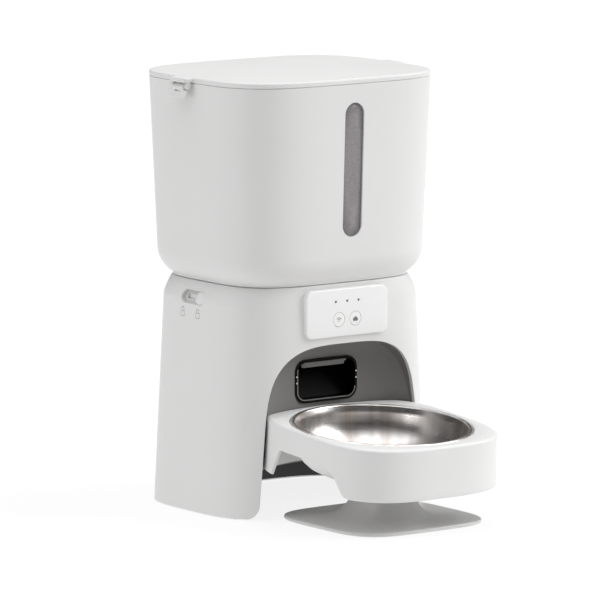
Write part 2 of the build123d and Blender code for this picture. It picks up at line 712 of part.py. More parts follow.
def make_hopper_shell():
    shell = hopper_skin(0, hopper_low_z, hopper_top_z)
    shell -= hopper_skin(hopper_wall, hopper_low_z + hopper_floor, hopper_top_z + 5)
    spigot = hopper_skin(3.4, deck_z + moving_gap, rounding_z) \
        & block(-99, 99, -99, 99, deck_z + moving_gap, hopper_low_z + 0.5)
    spigot -= hopper_skin(5.8, deck_z - 1, rounding_z)
    shell += spigot
    shell -= rod(throat_radius + 2 + fixed_gap, 0, throat_y, 150, hopper_low_z + hopper_floor + 1)
    shell -= window_slot(0)
    shell += block(lug_x0, lug_x1, lug_y0, lug_y1, lug_low_z, hopper_low_z + 1)
    shell -= block(lug_x0 + 0.9, lug_x1 - 0.9, lug_y0 - 1, lug_y1 + 1, bar_z0 - 0.4, bar_z1 + 0.4)
    for side in (1, -1):
        x = hopper_half(catch_z)[0] - hopper_wall / 2
        catch = block(x, catch_reach, latch_y - catch_half, latch_y + catch_half, catch_z, catch_z + 2.4)
        shell += catch if side > 0 else mirror(catch, Plane.YZ)
    return shell


def make_window():
    low, high = window_low - 6, window_high + 6
    pane = window_slot(-0.1) & (hopper_skin(window_recess, low, high)
                                - hopper_skin(hopper_wall + 0.5, low - 1, high + 1))
    flange = window_slot(2.6) & (hopper_skin(hopper_wall + 0.05, low, high)
                                 - hopper_skin(hopper_wall + 1.4, low - 1, high + 1))
    return pane + flange


def make_funnel():
    wall = 1.8
    top_x, top_y = [half - hopper_wall - fixed_gap for half in hopper_half(funnel_z)]
    low = hopper_low_z + hopper_floor + 1.5

    def cone(inset, radius):
        mouth = oval(top_x - inset, top_y - inset, outline_power, funnel_z)
        throat = Pos(0, throat_y, low) * Circle(radius)
        return loft([throat, mouth])

    funnel = cone(0, throat_radius + 2) - cone(wall, throat_radius)
    tube = rod(throat_radius + 2, 0, throat_y, deck_z + 0.6, low)
    return funnel + tube - rod(throat_radius, 0, throat_y, deck_z, low + 0.5)


# ---------------------------------------------------------------- lid and latches
rim_low_z = lid_z - rim_height
pin_z = rim_low_z - pin_drop


def lid_oval(inset, z):
    return oval(lid_x - inset, lid_y - inset, outline_power, z)


def make_lid():
    lid = loft([lid_oval(0, rim_low_z), lid_oval(0, lid_z - lid_edge)])
    lid += loft([lid_oval(0, lid_z - lid_edge), lid_oval(0.3 * lid_edge, lid_z - 0.3 * lid_edge),
                 lid_oval(lid_edge, lid_z)])
    lid += loft([lid_oval(lid_edge, lid_z), lid_oval(18, lid_z + 0.6 * lid_crown),
                 lid_oval(45, lid_z + lid_crown)])
    inner_top = lid_z - 1.6
    lid -= loft([lid_oval(2.6, rim_low_z - 1), lid_oval(2.6, inner_top)])
    skirt = loft([lid_oval(skirt_inset, rim_low_z - 8), lid_oval(skirt_inset, inner_top + 0.2)])
    lid += skirt - loft([lid_oval(skirt_inset + 1.8, rim_low_z - 9),
                         lid_oval(skirt_inset + 1.8, inner_top)])
    ear = block(lid_x - 6, lid_x + latch_reach, -latch_width / 2, latch_width / 2, rim_low_z, lid_z - 0.6)
    ear = fillet(ear.edges().filter_by(Axis.Z).group_by(Axis.X)[-1], 2.2)
    ear = fillet(ear.faces().sort_by(Axis.Z)[-1].edges().group_by(Axis.X)[-1], 0.8)
    for sy in (1, -1):
        y0, y1 = sorted((sy * (latch_width / 2 - 3.2), sy * latch_width / 2))
        ear += along_y(pin_radius + latch_step, pin_x, pin_z, y0, y1)
        ear += block(pin_x - 1.8, pin_x + 1.8, y0, y1, pin_z, rim_low_z + 0.2)
    ear -= along_y(pin_radius + 0.02, pin_x, pin_z, -latch_width, latch_width)
    ear = Pos(0, latch_y, 0) * ear
    ear -= loft([lid_oval(1.0, rim_low_z - 9), lid_oval(1.0, lid_z - 0.7)])
    lid += ear + mirror(ear, Plane.YZ)
    return lid


def make_seal():
    low, high = rim_low_z - 6.5, rim_low_z - 3.0
    outer, inner = hopper_wall + 0.7, skirt_inset - fixed_gap
    ring = loft([lid_oval(outer, low), lid_oval(outer, high)])
    return ring - loft([lid_oval(inner, low - 1), lid_oval(inner, high + 1)])


def make_pins():
    reach = latch_width / 2 - 0.2
    pin = along_y(pin_radius, pin_x, pin_z, latch_y - reach, latch_y + reach)
    return [pin, mirror(pin, Plane.YZ)]


def make_latch():
    """The clip on the +X side, hanging from its pin."""
    knuckle = latch_width / 2 - 3.2 - moving_gap
    x0 = pin_x + 0.6
    clip = along_y(pin_radius + 1.0, pin_x, pin_z, -knuckle, knuckle)
    clip += block(x0, x0 + latch_plate, -knuckle, knuckle, latch_low_z, pin_z + 0.8)
    clip += block(x0, x0 + latch_plate, -latch_width / 2, latch_width / 2, latch_low_z, pin_z - 2.7)
    clip += block(catch_reach + moving_gap, x0 + 0.1, -6.5, 6.5, latch_low_z + 0.6, catch_z - moving_gap)
    clip -= along_y(pin_radius + shaft_gap, pin_x, pin_z, -20, 20)
    clip -= block(x0 - 1, x0 + 5, -3.0, 3.5, pin_z - 3.4, pin_z - 2.2)
    return Pos(0, latch_y, 0) * clip


def make_desiccant_box():
    top = lid_z - 1.6
    low = top - desiccant_depth
    box = rod(desiccant_radius, 0, 0, low, top)
    return box - rod(desiccant_radius - 1.6, 0, 0, low - 1, top - 1.6)


def make_desiccant_pack():
    top = lid_z - 1.6
    return rod(desiccant_radius - 2.4, 0, 0, top - desiccant_depth + 3.2, top - 1.9)


def make_desiccant_cap():
    top = lid_z - 1.6 - desiccant_depth - moving_gap
    cap = rod(desiccant_radius, 0, 0, top - 2, top)
    cap += rod(desiccant_radius - 2.2, 0, 0, top - 1, top + 2.6)
    cap -= rod(desiccant_radius - 3.8, 0, 0, top, top + 4)
    for i in range(12):
        ray = block(9, 23, -1.1, 1.1, top - 4, top + 4)
        cap -= Rot(0, 0, 30 * i) * ray
    return cap


# ---------------------------------------------------------------- tray and bowl
def tray_block(inset, top, bottom):
    """The tray's outside shrunk by inset, between two depths in its own frame."""
    def level(depth):
        grow = tray_flare * -depth / tray_height - inset
        return oval(tray_half + grow, tray_reach + grow, tray_power, depth)

    body = tilted(loft([level(bottom), level(top)]))
    return body & bay_front(-tray_gap - inset, 0, 120)


def tray_notch():
    """Side view of the hollow under each side of the tray, in its own frame."""
    top, bottom = notch_height - tray_height, -tray_height - 0.6
    curve = Spline((-18, top), (-31, top - 1.6), (-39.6, top - 6.6), (-45, top - 13.6), (-52.5, bottom))
    edge = Polyline((-52.5, bottom), (-52.5, -50), (39, -50), (36, -tray_height),
                    (28.5, top - 4), (25, top), (-18, top))
    return Plane.YZ * make_face([curve, edge])


def tray_well(grow, top):
    """The well that holds the bowl, turned about its axis and grown by an amount."""
    low = -cup_depth + (cup_floor if grow == 0 else 0)
    line = [(0, top), (recess_radius + grow, top), (recess_radius + grow, -seat_depth - grow),
            (seat_radius + grow, -seat_depth - grow)]
    line += [(seat_radius - r + grow, depth - 0.4 * grow) for r, depth in cup_curve[:2]]
    line += [(seat_radius - r + 0.8 * grow, depth - 0.9 * grow) for r, depth in cup_curve[2:-1]]
    line += [(seat_radius - cup_curve[-1][0], low), (0, low)]
    return revolve(Plane.XZ * make_face(Polyline(*line, close=True)), Axis.Z)


def make_tray():
    outer = tilted(tray_well(cup_wall, 0))
    hollow = tray_block(tray_wall, -tray_wall, -tray_height - 5) - outer
    tray = (tray_block(0, 0, -tray_height) - hollow) + outer
    cuts = [tray_well(0, 1)]
    notch = tray_notch()
    cuts += [Pos(66.4, 0, 0) * extrude(notch, amount=20), Pos(-86.4, 0, 0) * extrude(notch, amount=20)]
    cuts += [rod(1.6, x, y, -60, 0) for x, y in foot_screw_spots]
    cuts += [rod(3.1, x, y, -cup_depth + 1.0, 0) for x, y in foot_screw_spots]
    return tray - [tilted(cut) for cut in cuts]


foot_screw_spots = corners(9.5, 9.5)


def make_foot():
    """Rounded-square foot plate with a flared neck up to the tray."""
    profile = [(pedestal_edge, pedestal_half - 0.6), (4.6, 44.0), (6.4, 31.0), (9.2, 23.6),
               (13.5, 19.6), (20.0, neck_half)]

    def level(z, half):
        return Pos(0, pedestal_y, 0) * oval(half, half, pedestal_power, z)

    foot = loft([level(pad_recess, pedestal_half), level(pedestal_edge - 0.6, pedestal_half)])
    foot += loft([level(pedestal_edge - 0.6, pedestal_half), level(pedestal_edge, pedestal_half - 0.6)])
    for (z0, half0), (z1, half1) in zip(profile, profile[1:]):
        foot += loft([level(z0, half0), level(z1, half1)])
    foot += loft([level(profile[-1][0], neck_half), level(50, neck_half)])
    foot -= tilted(block(-90, 90, -90, 90, -cup_depth - 0.05, 60))
    pocket = pad_half + fixed_gap
    foot -= loft([level(-1, pocket), level(pad_depth + 0.05, pocket)])
    foot -= loft([level(-1, neck_half - 4), level(16, neck_half - 4)])
    for x, y in foot_screw_spots:
        foot -= tilted(rod(1.4 + thread_gap, x, y, -cup_depth - 12, 0))
    return foot


def make_foot_pad():
    def level(z):
        return Pos(0, pedestal_y, 0) * oval(pad_half, pad_half, pedestal_power, z)

    return loft([level(0), level(pad_depth)])


def make_foot_screws():
    seat = -cup_depth + 1.0
    return [tilted(screw(x, y, seat, 9, 2.9, 1.4, 1.1, up=False)) for x, y in foot_screw_spots]


def make_bowl():
    """Pressed bowl turned about its axis, with a rolled rim."""
    roll = 1.7
    rim = bowl_rim_radius - roll
    top = 0.2
    lip = Pos(rim, top - roll) * Circle(roll)
    lip -= Pos(rim, top - roll) * Circle(roll - bowl_sheet)
    wall_top = (rim - roll + bowl_sheet / 4, top - roll)
    middle = (wall_top[0] - 2.2, -14.0)
    heel, floor_z = (bowl_floor_radius + 14.0, -bowl_depth + 9.0), -bowl_depth
    side = Spline(wall_top, middle, heel, (bowl_floor_radius, floor_z), tangents=((0, -1), (-1, 0)))
    flat = Line((bowl_floor_radius, floor_z), (0, floor_z))
    inner = Spline((wall_top[0] - bowl_sheet, wall_top[1]), (middle[0] - bowl_sheet, middle[1]),
                   (heel[0] - 0.7 * bowl_sheet, heel[1] + 0.7 * bowl_sheet),
                   (bowl_floor_radius, floor_z + bowl_sheet), tangents=((0, -1), (-1, 0)))
    bridge = Line(inner @ 0, wall_top)
    inner_flat = Line((bowl_floor_radius, floor_z + bowl_sheet), (0, floor_z + bowl_sheet))
    close = Line((0, floor_z + bowl_sheet), (0, floor_z))
    section = make_face([side, flat, close, inner_flat, inner, bridge])
    body = revolve(Plane.XZ * section, Axis.Z)
    ring = revolve(Plane.XZ * lip, Axis.Z)
    return tilted(body + ring)


# ---------------------------------------------------------------- write every node
with SkipClean():                    # faces that share a surface stay apart, which is far quicker
    latch = make_latch()
    nodes = {
        "base_shell": make_base_shell(), "cavity_liner": make_liner(), "outlet_frame": make_outlet_frame(),
        "outlet_visor": make_visor(), "chute": make_chute(), "well_deck": make_well_deck(),
        "deck_screws": make_deck_screws(), "shaft_bush": make_bush(), "gear_housing": make_gear_housing(),
        "gearhead": make_gearhead(), "motor": make_motor(), "motor_screws": make_motor_screws(),
        "battery_box": make_battery_box(), "battery_cells": make_cells(),
        "battery_contacts": make_contacts(), "bottom_cover": make_bottom_cover(),
        "skirt_lining": make_skirt_lining(),
        "cover_screws": make_cover_screws(), "rubber_pads": make_pads(),
        "power_socket": make_power_socket(), "main_board": make_main_board(),
        "board_parts": make_board_parts(), "board_screws": make_board_screws(),
        "control_panel": make_panel(), "led_lenses": make_leds(), "button_board": make_button_board(),
        "button_switches": make_switches(), "lock_bezel": make_lock_bezel(),
        "battery_door": make_battery_door(), "door_contacts": make_door_contacts(),
        "network_button": make_button(-button_x), "feed_button": make_button(button_x),
        "lock_knob": make_lock_knob(), "lock_bar": make_lock_bar(),
        "rotor": make_rotor(), "rotor_shaft": make_rotor_shaft(), "drive_gear": make_drive_gear(),
        "motor_pinion": make_pinion(), "motor_shaft": make_motor_shaft(),
        "hopper_shell": make_hopper_shell(), "hopper_window": make_window(),
        "hopper_funnel": make_funnel(), "lid_panel": make_lid(), "lid_seal": make_seal(),
        "latch_pins": make_pins(), "latch_right": latch, "latch_left": mirror(latch, Plane.YZ),
        "desiccant_box": make_desiccant_box(), "desiccant_pack": make_desiccant_pack(),
        "desiccant_cap": make_desiccant_cap(), "tray_shell": make_tray(), "tray_foot": make_foot(),
        "foot_pad": make_foot_pad(), "foot_screws": make_foot_screws(), "bowl": make_bowl(),
    }
for node, solid in nodes.items():
    save(node, solid)
print("tower_y", round(tower_y, 3), "nodes", len(nodes))
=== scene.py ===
import json
from math import cos, pi, radians, sin, sqrt, tan

import bmesh
import bpy
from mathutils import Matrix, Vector

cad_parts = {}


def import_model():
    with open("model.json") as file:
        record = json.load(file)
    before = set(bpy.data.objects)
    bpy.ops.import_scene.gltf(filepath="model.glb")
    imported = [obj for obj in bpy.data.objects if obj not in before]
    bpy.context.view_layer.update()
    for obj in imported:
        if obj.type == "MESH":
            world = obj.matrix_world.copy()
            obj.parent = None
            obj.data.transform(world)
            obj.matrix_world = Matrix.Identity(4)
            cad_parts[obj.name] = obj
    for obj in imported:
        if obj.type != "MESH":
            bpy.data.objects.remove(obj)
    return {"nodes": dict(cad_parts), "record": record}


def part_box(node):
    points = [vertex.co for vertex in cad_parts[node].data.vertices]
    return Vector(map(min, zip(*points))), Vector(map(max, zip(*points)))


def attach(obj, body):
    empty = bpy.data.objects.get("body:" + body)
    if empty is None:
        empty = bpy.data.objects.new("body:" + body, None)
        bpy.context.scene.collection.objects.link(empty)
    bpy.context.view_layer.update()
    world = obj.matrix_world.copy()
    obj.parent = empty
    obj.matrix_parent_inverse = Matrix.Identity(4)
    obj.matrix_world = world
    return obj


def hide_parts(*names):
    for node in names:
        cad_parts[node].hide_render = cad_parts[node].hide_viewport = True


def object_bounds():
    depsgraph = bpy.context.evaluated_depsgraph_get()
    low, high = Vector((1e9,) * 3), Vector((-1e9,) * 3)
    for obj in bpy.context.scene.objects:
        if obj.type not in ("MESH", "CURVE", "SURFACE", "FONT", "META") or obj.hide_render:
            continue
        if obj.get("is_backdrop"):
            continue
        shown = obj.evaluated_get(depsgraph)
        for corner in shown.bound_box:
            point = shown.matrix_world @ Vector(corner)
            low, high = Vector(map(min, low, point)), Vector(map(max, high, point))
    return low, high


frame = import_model()
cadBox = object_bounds()
mm = 0.001
ringCount = 224
lidLow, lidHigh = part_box("lid_panel")
towerY = (lidLow.y + lidHigh.y) / 2
trayTilt = radians(4.66)


# ------------------------------------------------------------ mesh helpers
# Sizes are in millimetres from the middle of the tower at the floor.

def world(point):
    x, y, z = point
    return Vector((x * mm, y * mm + towerY, z * mm))


def makePiece(name, points, faces):
    data = bpy.data.meshes.new(name)
    data.from_pydata([world(p) for p in points], [], faces)
    work = bmesh.new()
    work.from_mesh(data)
    bmesh.ops.recalc_face_normals(work, faces=work.faces)
    work.to_mesh(data)
    work.free()
    piece = bpy.data.objects.new(name, data)
    bpy.context.scene.collection.objects.link(piece)
    return piece


def ovalRing(halfX, halfY, power, z, centreY=0.0):
    ring = []
    for i in range(ringCount):
        turn = 2 * pi * i / ringCount
        c, s = cos(turn), sin(turn)
        r = (abs(c / halfX) ** power + abs(s / halfY) ** power) ** (-1 / power)
        ring.append((r * c, centreY + r * s, z))
    return ring


def loftRings(name, rings, closed=False, capFirst=False, capLast=False):
    count = len(rings[0])
    points = [p for ring in rings for p in ring]
    steps = len(rings) if closed else len(rings) - 1
    faces = []
    for k in range(steps):
        a, b = k * count, (k + 1) % len(rings) * count
        faces += [(a + i, a + (i + 1) % count, b + (i + 1) % count, b + i) for i in range(count)]
    if capFirst:
        faces.append(tuple(reversed(range(count))))
    if capLast:
        faces.append(tuple(range(len(points) - count, len(points))))
    return makePiece(name, points, faces)


def prism(name, outline, axis, low, high):
    place = {"x": lambda u, v, w: (w, u, v), "y": lambda u, v, w: (u, w, v), "z": lambda u, v, w: (u, v, w)}
    rings = [[place[axis](u, v, w) for u, v in outline] for w in (low, high)]
    return loftRings(name, rings, capFirst=True, capLast=True)


def roundedOutline(width, height, u, v, corner, steps=12):
    outline = []
    for k, (su, sv) in enumerate(((1, 1), (-1, 1), (-1, -1), (1, -1))):
        cu, cv = u + su * (width / 2 - corner), v + sv * (height / 2 - corner)
        for i in range(steps + 1):
            turn = pi / 2 * (k + i / steps)
            outline.append((cu + corner * cos(turn), cv + corner * sin(turn)))
    return outline


def bake(piece):
    graph = bpy.context.evaluated_depsgraph_get()
    data = bpy.data.meshes.new_from_object(piece.evaluated_get(graph))
    piece.modifiers.clear()
    piece.data = data
    return piece


def cut(piece, cutters, operation="DIFFERENCE"):
    for cutter in cutters:
        step = piece.modifiers.new("cut", "BOOLEAN")
        step.operation = operation
        step.solver = "EXACT"
        step.object = cutter
        bake(piece)
        bpy.data.objects.remove(cutter)
    return piece


def soften(piece, width, segments=2, angle=40):
    step = piece.modifiers.new("soften", "BEVEL")
    step.width = width * mm
    step.segments = segments
    step.limit_method = "ANGLE"
    step.angle_limit = radians(angle)
    step.use_clamp_overlap = True
    return bake(piece)


def smooth(piece, angle=32):
    piece.data.shade_smooth()
    piece.data.set_sharp_from_angle(angle=radians(angle))
    return piece


def settle(piece, finish, body, slot, *replaced):
    piece.data.materials.clear()
    piece.data.materials.append(finish)
    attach(piece, body)
    if replaced:
        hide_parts(*replaced)
    return piece


# ------------------------------------------------------------ material helpers

class Value:
    def __init__(self, tree, socket):
        self.tree, self.socket = tree, socket

    def calc(self, operation, *others):
        node = self.tree.nodes.new("ShaderNodeMath")
        node.operation = operation
        for i, item in enumerate((self,) + others):
            if isinstance(item, Value):
                self.tree.links.new(item.socket, node.inputs[i])
            else:
                node.inputs[i].default_value = item
        return Value(self.tree, node.outputs[0])

    def __add__(self, other):
        return self.calc("ADD", other)

    def __sub__(self, other):
        return self.calc("SUBTRACT", other)

    def __mul__(self, other):
        return self.calc("MULTIPLY", other)

    def above(self, low, high):
        node = self.tree.nodes.new("ShaderNodeMapRange")
        self.tree.links.new(self.socket, node.inputs["Value"])
        node.inputs["From Min"].default_value = low
        node.inputs["From Max"].default_value = high
        return Value(self.tree, node.outputs["Result"])


class Finish:
    def __init__(self, name, roughness, metallic=0.0):
        self.material = bpy.data.materials.new(name)
        self.material.use_nodes = True
        self.tree = self.material.node_tree
        self.shader = self.tree.nodes["Principled BSDF"]
        self.shader.inputs["Roughness"].default_value = roughness
        self.shader.inputs["Metallic"].default_value = metallic
        self.place = self.add("ShaderNodeTexCoord").outputs["Object"]

    def add(self, kind, settings=None, sockets=None):
        node = self.tree.nodes.new(kind)
        for key, value in (settings or {}).items():
            setattr(node, key, value)
        for key, value in (sockets or {}).items():
            self.feed(node.inputs[key], value)
        return node

    def feed(self, socket, value):
        if isinstance(value, Value):
            self.tree.links.new(value.socket, socket)
        elif isinstance(value, bpy.types.NodeSocket):
            self.tree.links.new(value, socket)
        else:
            socket.default_value = value

    def noise(self, scale, detail=2.0, stretch=(1, 1, 1), place=None):
        scaled = self.add("ShaderNodeMapping", sockets={"Vector": place or self.place, "Scale": stretch})
        node = self.add("ShaderNodeTexNoise",
                        sockets={"Vector": scaled.outputs[0], "Scale": scale, "Detail": detail})
        return Value(self.tree, node.outputs["Fac"])

    def blend(self, amount, first, second):
        node = self.add("ShaderNodeMix", {"data_type": "RGBA"})
        self.feed(node.inputs[0], amount)
        self.feed(node.inputs[6], first)
        self.feed(node.inputs[7], second)
        return node.outputs[2]

    def bump(self, height, depth, strength=1.0):
        node = self.add("ShaderNodeBump", sockets={"Height": height, "Distance": depth * mm,
                                                   "Strength": strength})
        self.feed(self.shader.inputs["Normal"], node.outputs[0])
        return node


def shade(colour, factor):
    return tuple(min(1.0, c * factor) for c in colour[:3]) + (1.0,)


def plastic(name, colour, roughness=0.45, grain=0.02, scale=1500.0, spread=0.04, shine=0.5):
    # Moulded plastic: a fine spark-eroded grain, with slow changes of tone and gloss.
    finish = Finish(name, roughness)
    slow, fine = finish.noise(14.0), finish.noise(scale, 3.0)
    tone = finish.blend(slow * 0.6 + fine * 0.4, shade(colour, 1 - spread), shade(colour, 1 + spread))
    finish.feed(finish.shader.inputs["Base Color"], tone)
    finish.feed(finish.shader.inputs["Roughness"], slow * 0.08 + (roughness - 0.04))
    finish.shader.inputs["Specular IOR Level"].default_value = shine
    finish.bump(fine, grain)
    return finish.material


def metal(name, colour, roughness=0.3, stretch=(1, 1, 30), scale=60.0, depth=0.004):
    # Brushed metal: long streaks along one way in tone, gloss and relief.
    finish = Finish(name, roughness, 1.0)
    streak = finish.noise(scale, 4.0, stretch)
    tone = finish.blend(streak, shade(colour, 0.86), shade(colour, 1.1))
    finish.feed(finish.shader.inputs["Base Color"], tone)
    finish.feed(finish.shader.inputs["Roughness"], streak * 0.16 + (roughness - 0.08))
    finish.bump(streak, depth)
    return finish.material


def rubber(name, colour):
    finish = Finish(name, 0.75)
    grains, blotch = finish.noise(2200.0, 4.0), finish.noise(90.0)
    finish.feed(finish.shader.inputs["Base Color"],
                finish.blend(blotch, shade(colour, 0.8), shade(colour, 1.25)))
    finish.feed(finish.shader.inputs["Roughness"], blotch * 0.12 + 0.68)
    finish.bump(grains, 0.05)
    return finish.material


def smokyWindow(name):
    # Tinted clear plastic with a fine speckle on its inner face.
    finish = Finish(name, 0.2)
    speckle = finish.noise(2200.0, 3.0).above(0.40, 0.62)
    finish.feed(finish.shader.inputs["Base Color"],
                finish.blend(speckle, (0.24, 0.225, 0.235, 1), (0.36, 0.34, 0.35, 1)))
    finish.feed(finish.shader.inputs["Roughness"], speckle * 0.2 + 0.16)
    finish.feed(finish.shader.inputs["Alpha"], speckle * 0.08 + 0.86)
    finish.bump(speckle, 0.01, 0.6)
    return finish.material


def bowlSteel(name):
    # Spun steel: rings of fine brushing about the bowl's axis, over a soft shine. Broad white and brown-grey
    # streaks round the bowl are painted reflection in the base colour.
    finish = Finish(name, 0.2, 1.0)
    low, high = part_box("bowl")
    middle = (low + high) / 2
    shifted = finish.add("ShaderNodeVectorMath", {"operation": "SUBTRACT"},
                         {0: finish.place, 1: (middle.x, middle.y, high.z)})
    parts = finish.add("ShaderNodeSeparateXYZ", sockets={0: shifted.outputs[0]})
    x, y, z = [Value(finish.tree, parts.outputs[i]) for i in range(3)]
    level = z - y * tan(trayTilt)
    reach = (x * x + y * y).calc("SQRT")
    around = y.calc("ARCTAN2", x)
    spun = finish.add("ShaderNodeCombineXYZ", sockets={0: reach * 900.0, 1: level * 900.0, 2: around * 2.0})
    fine = finish.noise(1.0, 3.0, place=spun.outputs[0])
    wide = finish.add("ShaderNodeCombineXYZ", sockets={0: around * 3.0, 1: reach * 6.0, 2: 0.0})
    paintedReflection = finish.noise(1.3, 2.0, place=wide.outputs[0])
    # Painted reflection: white and brown-grey streaks round the axis stand in for what the steel mirrors.
    finish.feed(finish.shader.inputs["Base Color"],
                finish.blend(paintedReflection.above(0.38, 0.62), (0.97, 0.955, 0.945, 1), (0.60, 0.55, 0.515, 1)))
    finish.feed(finish.shader.inputs["Roughness"], fine * 0.12 + paintedReflection * 0.16 + 0.16)
    finish.bump(fine, 0.004)
    return finish.material


def felt(name, colour):
    finish = Finish(name, 0.9)
    fibre = finish.noise(700.0, 6.0, (1, 4, 1))
    finish.feed(finish.shader.inputs["Base Color"],
                finish.blend(fibre, shade(colour, 0.8), shade(colour, 1.1)))
    finish.feed(finish.shader.inputs["Roughness"], fibre * 0.1 + 0.85)
    finish.bump(fibre, 0.1)
    return finish.material


def circuitBoard(name):
    # Solder mask with faint tracks under it.
    finish = Finish(name, 0.35)
    bricks = finish.add("ShaderNodeTexBrick", {"offset": 0.4},
                        {"Vector": finish.place, "Scale": 260.0, "Mortar Size": 0.05})
    track = Value(finish.tree, bricks.outputs["Fac"])
    finish.feed(finish.shader.inputs["Base Color"],
                finish.blend(track, (0.012, 0.09, 0.045, 1), (0.03, 0.17, 0.08, 1)))
    finish.feed(finish.shader.inputs["Roughness"], finish.noise(60.0) * 0.1 + 0.3)
    finish.bump(track, 0.02)
    return finish.material


finishes = {
    "white_shell": plastic("whiteShell", (0.80, 0.80, 0.795), 0.46, 0.02),
    "grey_liner": plastic("greyLiner", (0.225, 0.220, 0.215), 0.5, 0.03),
    "foot_grey": plastic("footGrey", (0.66, 0.655, 0.65), 0.34, 0.01),
    "mouth_black": plastic("mouthBlack", (0.0015, 0.0015, 0.0015), 0.55, 0.01, 900.0, 0.2, 0.12),
    "inner_white": plastic("innerWhite", (0.66, 0.66, 0.65), 0.55, 0.02),
    "smoke_window": smokyWindow("smokyWindow"),
    "steel_bowl": bowlSteel("bowlSteel"),
    "screw_steel": metal("screwSteel", (0.60, 0.60, 0.61), 0.3),
    "rubber_pad": rubber("rubberPad", (0.03, 0.03, 0.032)),
    "rotor_rubber": rubber("rotorRubber", (0.34, 0.35, 0.36)),
    "gear_nylon": plastic("gearNylon", (0.68, 0.63, 0.52), 0.4, 0.01),
    "motor_can": metal("motorCan", (0.50, 0.50, 0.50), 0.35),
    "brass": metal("turnedBrass", (0.70, 0.50, 0.20), 0.28, (1, 1, 60)),
    "contact_nickel": metal("nickel", (0.66, 0.65, 0.62), 0.22),
    "cell_wrap": plastic("cellSleeve", (0.02, 0.025, 0.035), 0.25, 0.004, 300.0, 0.15),
    "board_green": circuitBoard("circuitBoard"),
    "board_dark": plastic("darkPlastic", (0.012, 0.012, 0.013), 0.35, 0.01, 900.0, 0.2),
    "led_lens": plastic("ledLens", (0.12, 0.12, 0.125), 0.2, 0.002, 900.0, 0.1),
    "button_white": plastic("buttonWhite", (0.82, 0.82, 0.82), 0.4, 0.012),
    "silica_felt": felt("silicaFelt", (0.72, 0.70, 0.64)),
}
panelWhite = plastic("panelWhite", (0.95, 0.95, 0.95), 0.3, 0.01)
# Near-black colour for the skirt lining: painted shade inside the base's hollow.
liningPaintedShade = plastic("liningPaintedShade", (0.030, 0.030, 0.030), 0.6, 0.02)
markInk = plastic("markInk", (0.22, 0.22, 0.22), 0.5, 0.005, 900.0, 0.1)
markGrey = plastic("markGrey", (0.42, 0.42, 0.42), 0.5, 0.005, 900.0, 0.1)
print("finishes made", len(finishes))

slotOf = {entry["node"]: entry["material_slot"] for entry in frame["record"]["subparts"]}
for node, shown in frame["nodes"].items():
    shown.data.materials.clear()
    shown.data.materials.append(finishes[slotOf[node]])


# ------------------------------------------------------------ tower base
base = {"footX": 93.5, "footY": 73.0, "shoulderX": 86.3, "shoulderY": 68.0, "power": 3.85,
        "rimZ": 0.8, "shoulderZ": 155.0, "seamZ": 169.0, "insetX": 7.2, "insetY": 1.7,
        "curve": 1.45, "wall": 2.8}
archway = {"half": 74.5, "draft": 0.088, "springZ": 60.0, "topZ": 125.0, "power": 3.5, "toe": 12.0}
bay = {"half": 70.5, "depth": 21.0, "mouthY": -64.0, "floorZ": 36.0, "sheet": 2.0}
slotHole = {"length": 28.4, "height": 9.8, "y": 2.8, "z": 157.5}
panel = {"width": 74.0, "height": 35.5, "z": 147.9, "corner": 6.0, "faceY": -70.8, "backY": -66.0,
         "buttonX": 7.45, "buttonZ": 142.9, "buttonHole": 5.45, "ledPitch": 10.3, "ledZ": 156.3,
         "ledHole": 0.95, "edge": 1.2, "plugWidth": 60.3, "plugHeight": 24.3, "plugCorner": 3.0}
lining = {"gap": 0.12, "sheet": 1.1, "lowZ": 2.0, "highZ": 33.9, "frontY": -44.0}
outlet = {"z": 95.0, "holeWidth": 56.6, "holeHeight": 32.0, "holeCorner": 8.9, "lipWidth": 52.2,
          "lipHeight": 27.6, "lipCorner": 6.8, "lip": 0.8, "faceY": -45.2, "pinX": 27.0,
          "pinZ": (99.2, 94.4), "pin": 1.1}


def baseHalf(z):
    t = min(z, base["shoulderZ"]) / base["shoulderZ"]
    inward = max(0.0, (z - base["shoulderZ"]) / (base["seamZ"] - base["shoulderZ"])) ** base["curve"]
    return (base["footX"] + (base["shoulderX"] - base["footX"]) * t - base["insetX"] * inward,
            base["footY"] + (base["shoulderY"] - base["footY"]) * t - base["insetY"] * inward)


def baseRing(z, inset):
    halfX, halfY = baseHalf(z)
    return ovalRing(halfX - inset, halfY - inset, base["power"], z)


def archOutline(grow=0.0, low=-10.0):
    half = archway["half"] + grow - archway["draft"] * archway["springZ"]
    rise = archway["topZ"] + grow - archway["springZ"]
    outline = []
    for i in range(65):
        turn = pi * i / 64
        c, s = cos(turn), sin(turn)
        r = (abs(c / half) ** archway["power"] + abs(s / rise) ** archway["power"]) ** (-1 / archway["power"])
        narrow = 1 - archway["draft"] * r * s / half
        outline.append((r * c * narrow, archway["springZ"] + r * s))
    foot = half + archway["draft"] * (archway["springZ"] - low)
    return outline + [(-foot, low), (foot, low)]


def toeOutline(side):
    x = archway["half"] - archway["draft"] * archway["toe"]
    toe = archway["toe"]
    outline = [(side * (x - 5), -1), (side * (x - 5), toe), (side * x, toe)]
    outline += [(side * (x + toe - toe * cos(pi / 2 * i / 12)), toe - toe * sin(pi / 2 * i / 12))
                for i in range(1, 13)]
    return outline + [(side * (x + toe), -1)]


